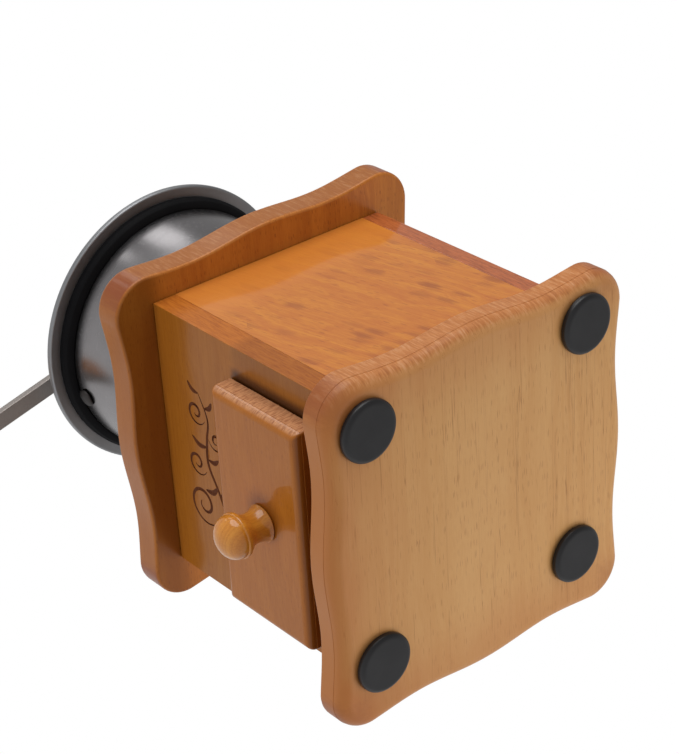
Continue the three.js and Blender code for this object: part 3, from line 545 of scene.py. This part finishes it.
def lathe(name, profile, segments=96, closed=False):
    """A solid turned about Z from (radius, height) points. A closed profile is a ring."""
    work = bmesh.new()
    rows = []
    for r, z in profile:
        ring = [(0, 0)] if r < ON_AXIS else [polar(r, TURN * k / segments) for k in range(segments)]
        rows.append([work.verts.new((x, y, z)) for x, y in ring])
    pairs = list(zip(rows, rows[1:])) + ([(rows[-1], rows[0])] if closed else [])
    for low, high in pairs:
        for i in range(segments):
            k = (i + 1) % segments
            if len(low) == 1 and len(high) == 1:
                break
            if len(low) == 1:
                work.faces.new((low[0], high[k], high[i]))
            elif len(high) == 1:
                work.faces.new((low[i], low[k], high[0]))
            else:
                work.faces.new((low[i], low[k], high[k], high[i]))
    return to_mesh(name, work)


def ease_edges(work, width):
    sharp = [e for e in work.edges if e.is_manifold and e.calc_face_angle(0) > math.radians(SHARP_ANGLE)]
    bmesh.ops.bevel(work, geom=sharp, offset=width, segments=3, affect="EDGES", profile=0.5,
                    clamp_overlap=True)


def prism(name, outline, holes, low, high, ease):
    """A plate in the XY plane with holes, between two heights, its edges eased."""
    work = bmesh.new()
    edges = []
    for loop in [outline, *holes]:
        verts = [work.verts.new((x, y, low)) for x, y in loop]
        edges += [work.edges.new((verts[i], verts[(i + 1) % len(verts)])) for i in range(len(verts))]
    bmesh.ops.triangle_fill(work, use_beauty=True, use_dissolve=False, edges=edges)
    bmesh.ops.dissolve_limit(work, angle_limit=0.01, verts=work.verts, edges=work.edges)
    grown = bmesh.ops.extrude_face_region(work, geom=work.faces[:])
    top = [g for g in grown["geom"] if isinstance(g, bmesh.types.BMVert)]
    bmesh.ops.translate(work, vec=(0, 0, high - low), verts=top)
    bmesh.ops.recalc_face_normals(work, faces=work.faces)
    ease_edges(work, ease)
    return to_mesh(name, work)


def brick(name, low, high, ease):
    work = bmesh.new()
    bmesh.ops.create_cube(work, size=1.0)
    size = Vector(high) - Vector(low)
    middle = (Vector(high) + Vector(low)) / 2
    place = Matrix.Translation(middle) @ Matrix.Diagonal((*size, 1.0))
    bmesh.ops.transform(work, matrix=place, verts=work.verts)
    ease_edges(work, ease)
    return to_mesh(name, work)


def node_box(node):
    """Low and high corners of a CAD node in millimetres."""
    low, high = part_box(node)
    return low / MM, high / MM


def polar(radius, angle):
    return radius * math.cos(angle), radius * math.sin(angle)


def circle(radius, count, centre=0.0):
    """A closed line of points about a centre on the x axis."""
    around = [polar(radius, TURN * k / count) for k in range(count)]
    return [(centre + x, y) for x, y in around]


def dome(radius, base, rise, steps):
    """Quarter of an ellipse as (radius, height), without its last point on the axis."""
    return [(radius * math.cos(TURN / 4 * k / steps), base + rise * math.sin(TURN / 4 * k / steps))
            for k in range(steps)]


def cut_out(target, cutter):
    """Takes the cutter's shape out of the target. The cut faces take the cutter's material."""
    tool = target.modifiers.new("cut", "BOOLEAN")
    tool.object = cutter
    tool.operation = "DIFFERENCE"
    tool.solver = "EXACT"
    tool.material_mode = "TRANSFER"
    graph = bpy.context.evaluated_depsgraph_get()
    mesh = bpy.data.meshes.new_from_object(target.evaluated_get(graph))
    target.modifiers.remove(tool)
    target.data = mesh
    bpy.data.objects.remove(cutter)


# ---- boards ----
BOARD = {"half": 66.0, "wave": 1.1, "length": 62.0, "corner": 13.0}
BASE_EDGE = {"size": 4.8, "step": 0.12, "lip": 0.45}
TOP_EDGE = {"size": 1.2, "step": 0.02, "lip": 1.1}
BASE_SET = (-1.8, 0.9, 0.6)
TOP_SET = (-0.8, 1.8, -2.3)
BEAN_HOLE = 24.0


def board_outline(inset, place):
    """Waved square set off the spindle axis by place's x and y and turned by its angle in degrees."""
    per_side, per_corner = 56, 14
    shift_x, shift_y, degrees = place
    reach = BOARD["half"] - BOARD["corner"]

    def out(along):
        return BOARD["half"] - inset + BOARD["wave"] * math.cos(TURN * along / BOARD["length"])

    radius = out(reach) - reach
    points = []
    for side in range(4):
        angle = side * TURN / 4 + math.radians(degrees)
        c, s = math.cos(angle), math.sin(angle)
        steps = [reach * (2 * i / per_side - 1) for i in range(per_side + 1)]
        local = [(along, -out(along)) for along in steps]
        for i in range(1, per_corner):
            a = TURN / 4 * (i / per_corner - 1)
            x, y = polar(radius, a)
            local.append((reach + x, y - reach))
        points += [(c * x - s * y + shift_x, s * x + c * y + shift_y) for x, y in local]
    return points


def moulding(size, thick, step, lip, arc=9):
    """Edge profile as (inset, height): rounded over below, a small step, then a straight band whose corners
    are eased by lip."""
    profile = []
    for i in range(arc + 1):
        a = TURN / 4 * i / arc
        profile.append((step + size * (1 - math.sin(a)), size * (1 - math.cos(a))))
    rest = soften([(step, size), (0.0, size), (0.0, thick), (lip * 6, thick)], lip)
    return profile[:-1] + rest


def board(node, place, edge, material, hole=None):
    """A waved board, with a hole of a radius on the spindle axis if one is given."""
    low, high = node_box(node)
    profile = moulding(edge["size"], high.z - low.z, edge["step"], edge["lip"])
    rings = [[(x, y, low.z + z) for x, y in board_outline(inset, place)] for inset, z in profile]
    if hole is None:
        mesh = rings_to_mesh(node, rings)
    else:
        turn = [math.atan2(y, x) for x, y, _ in rings[0]]
        wide = hole + 3
        eased = soften([(wide, high.z), (hole, high.z), (hole, low.z), (wide, low.z)], 0.5)
        bore = [[(*polar(r, a), z) for a in turn] for r, z in eased]
        mesh = rings_to_mesh(node, rings + bore, closed=True)
    settle(node + "_looks", "case", material, mesh, [node])


board("base_board", BASE_SET, BASE_EDGE, WOOD["base"])
board("top_board", TOP_SET, TOP_EDGE, WOOD["top"], BEAN_HOLE)


# ---- feet ----
def foot(node):
    low, high = node_box(node)
    radius = (high.x - low.x) / 2
    line = [(0, low.z), (radius - 1.8, low.z), (radius - 1.1, low.z + 0.1), (radius - 0.35, low.z + 0.55),
            (radius - 0.02, low.z + 1.1), (radius, high.z - 0.35), (radius - 0.3, high.z), (0, high.z)]
    mesh = lathe(node, soften(line, 0.5, steps=3, least=8), 72)
    centre = Matrix.Translation(((low.x + high.x) / 2, (low.y + high.y) / 2, 0))
    settle(node + "_looks", "case", RUBBER, mesh, [node], place=centre)


for corner in ("front_right", "back_right", "back_left", "front_left"):
    foot("foot_" + corner)


# ---- box ----
OPENING = {"half": 36.2, "bottom": 26.0, "top": 64.0}
SIDE_EASE = 0.06
SIDE_REACH = 0.3


def panel(node, material, ease=0.5, reach=0.0):
    """reach closes the joint to the panels in front and behind."""
    low, high = node_box(node)
    low.y -= reach
    high.y += reach
    return settle(node + "_looks", "case", material, brick(node, low, high, ease), [node])


def front_panel():
    low, high = node_box("front_panel")
    outline = [(low.x, low.z), (high.x, low.z), (high.x, high.z), (low.x, high.z)]
    half, bottom, top = OPENING["half"], OPENING["bottom"], OPENING["top"]
    gap = [(-half, bottom), (-half, top), (half, top), (half, bottom)]
    mesh = prism("front_panel", outline, [gap], 0.0, high.y - low.y, 0.25)
    stand = Matrix.Translation((0, high.y, 0)) @ Matrix.Rotation(TURN / 4, 4, "X")
    return settle("front_panel_looks", "case", WOOD["front"], mesh, ["front_panel"],
                  place=stand)


panel("right_panel", WOOD["side"], SIDE_EASE, SIDE_REACH)
panel("left_panel", WOOD["side"], SIDE_EASE, SIDE_REACH)
panel("back_panel", WOOD["back"])
front = front_panel()


# ---- engraved scroll ----
def spiral(centre, outer, inner, start, turns):
    """A spiral in the panel's plane, from its outer end at an angle in degrees to its inner end."""
    count = 56
    made = []
    for k in range(count + 1):
        t = k / count
        x, z = polar(outer + (inner - outer) * t ** 0.8, math.radians(start) + TURN * turns * t)
        made.append((centre[0] + x, centre[1] + z))
    return made


def smooth_line(points, count):
    """Catmull-Rom line through the points."""
    ends = [points[0], *points, points[-1]]
    made = []
    per = max(4, count // (len(points) - 1))
    for i in range(1, len(ends) - 2):
        p = [Vector(q) for q in ends[i - 1:i + 3]]
        for k in range(per + (i == len(ends) - 3)):
            t = k / per
            q = 0.5 * ((2 * p[1]) + (p[2] - p[0]) * t + (2 * p[0] - 5 * p[1] + 4 * p[2] - p[3]) * t ** 2
                       + (3 * p[1] - p[0] - 3 * p[2] + p[3]) * t ** 3)
            made.append((q.x, q.y))
    return made


def stroke(line, width, face, deep):
    """Rings of a blade-shaped cutter along a line in the panel's plane, widest in its middle."""
    count = len(line)
    rings = []
    for i, (x, z) in enumerate(line):
        ahead = Vector(line[min(i + 1, count - 1)]) - Vector(line[max(i - 1, 0)])
        side = Vector((-ahead.y, ahead.x)).normalized()
        t = i / (count - 1)
        half = width / 2 * (0.12 + 0.88 * math.sin(math.pi * t) ** 0.7)
        floor = deep * (0.35 + 0.65 * math.sin(math.pi * t) ** 0.7)
        rings.append([
            (x + side.x * half * 1.25, face - 0.3, z + side.y * half * 1.25),
            (x - side.x * half * 1.25, face - 0.3, z - side.y * half * 1.25),
            (x - side.x * half * 0.45, face + floor, z - side.y * half * 0.45),
            (x + side.x * half * 0.45, face + floor, z + side.y * half * 0.45),
        ])
    return rings


def leaf(x, z, length, heading, bend=0.18):
    """Centre line of a leaf from its stem end, heading in degrees."""
    a = math.radians(heading)
    along = Vector((math.cos(a), math.sin(a)))
    side = Vector((-along.y, along.x))
    tip = Vector((x, z)) + along * length
    middle = Vector((x, z)) + along * length / 2 + side * length * bend
    return smooth_line([(x, z), tuple(middle), tuple(tip)], 16)


STEM = [(-29.5, 80), (-22, 78.2), (-12, 81.5), (-2, 86.5), (8, 86), (17, 84.5), (26.5, 89)]
GROOVE_DEPTH = 0.55
# Every stroke's line and width.
SCROLL = [
    (smooth_line(STEM, 72), 1.5),
    (spiral((-20.5, 91.5), 9.6, 1.6, 252, -1.55), 1.5),
    (spiral((-3.8, 93.2), 5.6, 1.2, 250, -1.35), 1.3),
    (spiral((9.6, 80.6), 4.6, 1.0, 95, 1.3), 1.2),
    (spiral((17.6, 91.2), 5.4, 1.1, 250, -1.35), 1.3),
    (leaf(-10, 82.2, 8.5, 118), 2.3),
    (leaf(-13, 81.2, 6.5, -38, -0.18), 2.0),
    (leaf(5, 86.6, 8.5, 78), 2.2),
    (leaf(0, 86.2, 6.5, -70, -0.18), 2.0),
    (leaf(21, 85.7, 6.0, -48, -0.18), 2.0),
    (leaf(26, 88.8, 6.5, 62), 2.0),
    (leaf(-29, 80.2, 5.5, 152, -0.12), 1.8),
]


def engrave(target):
    face = node_box("front_panel")[0].y
    for line, width in SCROLL:
        mesh = rings_to_mesh("stroke", stroke(line, width, face, GROOVE_DEPTH))
        mesh.transform(Matrix.Scale(MM, 4))
        mesh.materials.append(BURNT)
        cutter = bpy.data.objects.new("stroke", mesh)
        bpy.context.scene.collection.objects.link(cutter)
        cut_out(target, cutter)
    target.data.polygons.foreach_set("use_smooth", [True] * len(target.data.polygons))
    target.data.set_sharp_from_angle(angle=math.radians(SHARP_ANGLE))


engrave(front)


# ---- drawer ----
def rectangle(width, height, corner):
    """A rectangle about the origin with round corners."""
    per_corner = 6
    points = []
    for k, (sx, sy) in enumerate(((1, 1), (-1, 1), (-1, -1), (1, -1))):
        for i in range(per_corner + 1):
            x, y = polar(corner, TURN / 4 * (k + i / per_corner))
            points.append((sx * (width / 2 - corner) + x, sy * (height / 2 - corner) + y))
    return points


def drawer_front():
    low, high = node_box("drawer_front")
    centre = (low + high) / 2
    width, height, thick = high.x - low.x, high.z - low.z, high.y - low.y
    rings = []
    for inset, depth in moulding(3.2, thick, 0.12, 0.3, 8):
        corner = max(0.35, 1.3 - inset * 0.25)
        rings.append([(centre.x + x, low.y + depth, centre.z + z)
                      for x, z in rectangle(width - 2 * inset, height - 2 * inset, corner)])
    mesh = rings_to_mesh("drawer_front", rings)
    settle("drawer_front_looks", "drawer", WOOD["drawer"], mesh, ["drawer_front"])


def drawer_knob():
    low, high = node_box("drawer_knob")
    neck = smooth_line([(6.9, 0.4), (6.3, 1.6), (5.6, 4.2), (5.8, 6.4), (6.9, 8.4), (8.1, 10.0)], 40)
    profile = [(0, 0), (6.6, 0), *neck, (8.3, 10.7), (8.3, 11.2), (8.15, 11.5), (7.95, 11.6),
               *dome(7.95, 11.87, 6.4, 20), (0, 18.27)]
    centre = (low + high) / 2
    place = Matrix.Translation((centre.x, high.y, centre.z)) @ Matrix.Rotation(TURN / 4, 4, "X")
    settle("drawer_knob_looks", "drawer", WOOD["knob"], lathe("drawer_knob", profile, 96), ["drawer_knob"],
           crease=40, place=place)


def drawer_board(node):
    mesh = brick(node, *node_box(node), 0.35)
    settle(node + "_looks", "drawer", WOOD["inside"], mesh, [node])


drawer_front()
drawer_knob()
for name in ("side_right", "side_left", "back", "floor"):
    drawer_board("drawer_" + name)


# ---- hopper ----
BOWL = {"mouth": 23.0, "foot": 31.0, "wall": 1.2, "curve_top": 174.4}


def bowl_curve(rim, base):
    """Quarter of an ellipse from the bowl's flat foot at a base height out to the rim's radius."""
    steps = 40
    rise = BOWL["curve_top"] - base
    angles = [TURN / 4 * i / steps for i in range(steps + 1)]
    return [(BOWL["foot"] + (rim - BOWL["foot"]) * math.sin(a), base + rise * (1 - math.cos(a)))
            for a in angles]


def hopper_bowl():
    low, high = node_box("hopper_bowl")
    mouth, wall = BOWL["mouth"], BOWL["wall"]
    rim, floor = high.x - wall, low.z + wall
    outside = [(mouth, low.z), *bowl_curve(high.x, low.z), (high.x, high.z)]
    inside = [(rim, high.z), *reversed(bowl_curve(rim, floor)), (mouth, floor)]
    mesh = lathe("hopper_bowl", outside + inside, 160, closed=True)
    settle("hopper_bowl_looks", "case", METAL["polished"], mesh, ["hopper_bowl"],
           crease=50)


def ring_piece(node, body, material, profile, radius, segments):
    mesh = lathe(node, soften(profile, radius, closed=True), segments, closed=True)
    settle(node + "_looks", body, material, mesh, [node], crease=45)


hopper_bowl()
ring_piece("hopper_rim", "case", METAL["satin"],
           [(48.9, 179.2), (56.8, 179.2), (56.8, 181.8), (48.9, 181.8)], 0.9, 160)
ring_piece("hopper_collar", "case", COLLAR,
           [(48.85, 174.7), (50.1, 174.9), (51.6, 175.7), (52.5, 177.0), (52.5, 179.2), (48.85, 179.2)],
           0.3, 160)


# ---- spindle and crank ----
CRANK_REACH = 100.0
CRANK_AZIMUTH = -103.6
SHAFT_HOLE = 4.3
PIN_HOLE = 2.8
CRANK_PLACE = Matrix.Rotation(math.radians(CRANK_AZIMUTH), 4, "Z")
PIN_PLACE = CRANK_PLACE @ Matrix.Translation((CRANK_REACH, 0, 0))


def rod_outline(width, hub, eye):
    """A bar of a width between two round ends, one on the spindle axis and one at the crank's reach."""
    count = 28
    start, stop = math.asin(width / 2 / hub), math.asin(width / 2 / eye)
    near = [polar(hub, start + (TURN - 2 * start) * k / count) for k in range(count + 1)]
    far = [polar(eye, math.pi + stop + (TURN - 2 * stop) * k / count) for k in range(count + 1)]
    return near + [(CRANK_REACH + x, y) for x, y in far]


def crank_arm():
    low, high = node_box("crank_arm")
    holes = [circle(SHAFT_HOLE, 40), circle(PIN_HOLE, 32, CRANK_REACH)]
    mesh = prism("crank_arm", rod_outline(7.0, 9.5, 6.5), holes, low.z, high.z, 0.45)
    settle("crank_arm_looks", "spindle", METAL["arm"], mesh, ["crank_arm"], place=CRANK_PLACE)


def crank_grip():
    skin = [(7.5, 195.4), (6.4, 198.9), (9.9, 205.9), (11.48, 212.9), (10.35, 221.4), (6.2, 225.3)]
    profile = [(PIN_HOLE, 194.9), (7.0, 194.9), *smooth_line(skin, 60), (5.4, 225.6), (5.0, 225.3),
               (5.0, 223.3), (PIN_HOLE, 223.3)]
    mesh = lathe("crank_grip", profile, 96, closed=True)
    settle("crank_grip_looks", "grip", WOOD["grip"], mesh, ["crank_grip"], crease=40,
           place=PIN_PLACE)


def cap_nut():
    """Six-sided nut with chamfered corners under a dome, hollow for the end of the shaft."""
    flat_half, corner, count = 5.716, 6.6, 96
    base = node_box("cap_nut")[0].z

    def hexagon(limit):
        flats = [math.radians(math.degrees(TURN * k / count) % 60 - 30) for k in range(count)]
        return [min(flat_half / math.cos(a), limit) for a in flats]

    def round_level(radius):
        return [radius] * count

    levels = [(round_level(0.02), 6.6), (round_level(SHAFT_HOLE), 6.6), (round_level(SHAFT_HOLE), 0.0),
              (hexagon(5.9), 0.0), (hexagon(6.35), 0.25), (hexagon(corner), 0.6), (hexagon(corner), 3.9),
              (hexagon(6.35), 4.25), (hexagon(5.85), 4.5), (round_level(5.55), 4.5)]
    levels += [(round_level(r), z) for r, z in dome(5.5, 4.6, 4.38, 13)]
    levels.append((round_level(0.02), 8.98))
    rings = [[(*polar(r, TURN * k / count), base + z) for k, r in enumerate(radii)] for radii, z in levels]
    settle("cap_nut_looks", "spindle", METAL["bright"], rings_to_mesh("cap_nut", rings), ["cap_nut"],
           place=CRANK_PLACE)


def adjuster_nut():
    """Round nut with soft lobes to grip."""
    low, high = node_box("adjuster_nut")
    count, lobes = 192, 8
    angles = [TURN * k / count for k in range(count)]
    outline = [polar(11.58 + 1.3 * math.cos(lobes * a), a) for a in angles]
    mesh = prism("adjuster_nut", outline, [circle(SHAFT_HOLE, 48)], low.z, high.z, 0.7)
    settle("adjuster_nut_looks", "adjuster", METAL["zinc"], mesh, ["adjuster_nut"],
           crease=50)


def shaft_spring():
    coils, per_coil, around = 4.5, 28, 12
    bottom, top, radius, wire = 163.8, 173.3, 6.0, 0.6
    rings = []
    steps = int(coils * per_coil)
    for i in range(steps + 1):
        t = i / steps
        outward = Vector((*polar(1.0, TURN * coils * t), 0))
        centre = outward * radius + Vector((0, 0, bottom + wire + (top - bottom - 2 * wire) * t))
        across = [polar(wire, TURN * k / around) for k in range(around)]
        rings.append([tuple(centre + outward * u + Vector((0, 0, v))) for u, v in across])
    settle("shaft_spring_looks", "spindle", METAL["bright"], rings_to_mesh("shaft_spring", rings),
           ["shaft_spring"])


def rivet(node, azimuth):
    """A rivet through the bowl's wall. Its profile is (radius, distance from the spindle axis)."""
    profile = [(0, 42.3), (2.2, 42.3), (3.06, 43.1), (3.06, 43.9), (1.6, 43.9), (1.6, 49.1), (3.6, 49.1),
               *dome(3.6, 49.35, 1.35, 10), (0, 50.7)]
    place = Matrix.Rotation(math.radians(azimuth), 4, "Z") @ Matrix.Translation((0, 0, 170.4))
    place = place @ Matrix.Rotation(TURN / 4, 4, "Y")
    mesh = lathe(node, profile, 48)
    settle(node + "_looks", "case", METAL["rivet"], mesh, [node], place=place)


def turned(node, material, profile, place=None):
    """A turned piece of the spindle."""
    mesh = lathe(node, profile, 64)
    settle(node + "_looks", "spindle", material, mesh, [node], crease=45, place=place)


crank_arm()
crank_grip()
cap_nut()
adjuster_nut()
shaft_spring()
rivet("bridge_rivet_front", -102.0)
rivet("bridge_rivet_back", 78.0)
low, high = node_box("drive_shaft")
turned("drive_shaft", METAL["bright"],
       [(0, low.z), (3, low.z), (3.6, low.z + 0.3), (4, low.z + 1), (4, high.z - 1), (3.6, high.z - 0.3),
        (3, high.z), (0, high.z)])
ring_piece("crank_sleeve", "spindle", METAL["zinc"],
           [(SHAFT_HOLE, 187.7), (6.5, 187.7), (6.5, 190.7), (SHAFT_HOLE, 190.7)], 0.4, 64)
turned("grip_cap", METAL["brass"],
       [(0, 223.9), (4.6, 223.9), *dome(4.6, 225.1, 1.7, 12), (0, 226.8)], PIN_PLACE)
turned("grip_pin", METAL["zinc"],
       [(0, 188.7), (3.5, 188.7), (4.4, 189.05), (5, 189.7), (5, 190.7), (2.5, 190.7), (2.5, 223.6),
        (0, 223.6)], PIN_PLACE)

# ---- CAD nodes that keep their own shape ----
KEEP = [
    (WOOD["inside"], ["drawer_runner_right", "drawer_runner_left"]),
    (METAL["satin"], ["bridge_strap"]),
    (METAL["brass"], ["top_bush", "low_bush"]),
    (METAL["iron"], ["burr_housing"]),
    (METAL["burr"], ["outer_burr", "inner_burr"]),
    (METAL["zinc"], ["drawer_knob_screw", "hopper_screw_1", "hopper_screw_2", "hopper_screw_3",
                     "housing_screw_1", "housing_screw_2", "housing_screw_3", "strap_screw_1",
                     "strap_screw_2", "bearing_strap", "spring_seat", "shaft_clip", "lock_plate"]),
]
for material, nodes in KEEP:
    for node in nodes:
        NODES[node].data.materials.clear()
        NODES[node].data.materials.append(material)


# ---- stage ----
MIDDLE = (0, 0, 0.09)
HOPPER_MIDDLE = (0, 0, 0.15)


def make_floor():
    """Pale floor, seen from above only, so that the underside stays in view and lit.

    Returns a collection that lights leave out, as the floor glows evenly on its own."""
    work = bmesh.new()
    bmesh.ops.create_circle(work, cap_ends=True, radius=3.0, segments=64)
    mesh = bpy.data.meshes.new("floor")
    work.to_mesh(mesh)
    work.free()
    floor = bpy.data.objects.new("floor", mesh)
    floor.location.z = cad_box[0].z - 0.0002
    bpy.context.scene.collection.objects.link(floor)
    s = Shader("pale_floor")
    speck = s.noise(s.point, 0.02, 3.0)
    colour = s.mix(s.span(speck, 0.3, 0.7), linear(226, 225, 223), linear(232, 231, 229))
    s.set(base_color=colour, roughness=0.7, specular_ior_level=0.2, emission_color=(1.0, 0.995, 0.99, 1.0),
          emission_strength=0.38)
    back = s.add("ShaderNodeNewGeometry").outputs["Backfacing"]
    clear = s.add("ShaderNodeBsdfTransparent")
    blend = s.add("ShaderNodeMixShader", {0: back, 1: s.surface.outputs[0], 2: clear.outputs[0]})
    output = next(n for n in s.tree.nodes if n.type == "OUTPUT_MATERIAL")
    s.tree.links.new(blend.outputs[0], output.inputs[0])
    mesh.materials.append(s.material)
    for kind in ("diffuse", "glossy", "transmission", "volume_scatter", "shadow"):
        setattr(floor, "visible_" + kind, False)
    apart = bpy.data.collections.new("floor_apart")
    apart.objects.link(floor)
    apart.collection_objects[0].light_linking.link_state = "EXCLUDE"
    return apart


def make_world():
    """White to the camera, and soft grey, brighter on one side, to everything else."""
    world = bpy.data.worlds.new("studio")
    bpy.context.scene.world = world
    world.use_nodes = True
    tree = world.node_tree
    tree.nodes.clear()
    output = tree.nodes.new("ShaderNodeOutputWorld")
    seen = tree.nodes.new("ShaderNodeBackground")
    seen.inputs[0].default_value = (1, 1, 1, 1)
    seen.inputs[1].default_value = 1.0
    light = tree.nodes.new("ShaderNodeBackground")
    light.inputs[0].default_value = (1.0, 0.99, 0.98, 1)
    mirrored = tree.nodes.new("ShaderNodeBackground")
    mirrored.inputs[0].default_value = (1.0, 1.0, 1.0, 1)
    place = tree.nodes.new("ShaderNodeTexCoord")
    for shader, direction, base in ((light, (0.14, 0.14, 0.0), 0.37), (mirrored, (-0.22, -0.22, 0.0), 0.62)):
        tilt = tree.nodes.new("ShaderNodeVectorMath")
        tilt.operation = "DOT_PRODUCT"
        tilt.inputs[1].default_value = direction
        level = tree.nodes.new("ShaderNodeMath")
        level.operation = "ADD"
        level.inputs[1].default_value = base
        tree.links.new(place.outputs["Generated"], tilt.inputs[0])
        tree.links.new(tilt.outputs["Value"], level.inputs[0])
        tree.links.new(level.outputs[0], shader.inputs[1])
    path = tree.nodes.new("ShaderNodeLightPath")
    blend = light
    for kind, shader in (("Is Glossy Ray", mirrored), ("Is Camera Ray", seen)):
        mixed = tree.nodes.new("ShaderNodeMixShader")
        tree.links.new(path.outputs[kind], mixed.inputs[0])
        tree.links.new(blend.outputs[0], mixed.inputs[1])
        tree.links.new(shader.outputs[0], mixed.inputs[2])
        blend = mixed
    tree.links.new(blend.outputs[0], output.inputs[0])


def soft_light(name, direction, distance, size, power, target=MIDDLE, mirrored=True):
    """A round lamp in metres and watts, a distance from its target. mirrored shows it in shiny surfaces."""
    data = bpy.data.lights.new(name, "AREA")
    data.shape = "DISK"
    data.size = size
    data.energy = power
    light = bpy.data.objects.new(name, data)
    away = Vector(direction).normalized()
    light.location = Vector(target) + away * distance
    light.rotation_mode = "QUATERNION"
    light.rotation_quaternion = away.to_track_quat("Z", "Y")
    light.visible_camera = False
    light.visible_glossy = mirrored
    light.light_linking.receiver_collection = FLOOR_APART
    bpy.context.scene.collection.objects.link(light)


FLOOR_APART = make_floor()
make_world()
soft_light("key", (0.98, 0.05, 0.08), 1.0, 0.9, 6.6)
soft_light("low_fill", (-0.5, 0.4, -0.77), 0.6, 0.5, 1.6, mirrored=False)
soft_light("front_fill", (-0.25, -0.97, 0.05), 1.0, 0.5, 3.4, mirrored=False)
soft_light("high_box", (0.72, 0.24, 0.65), 1.0, 0.32, 0.55, HOPPER_MIDDLE)
soft_light("thin_box", (0.67, -0.17, 0.72), 1.0, 0.12, 0.1, HOPPER_MIDDLE)
bpy.context.scene.view_settings.view_transform = "Standard"
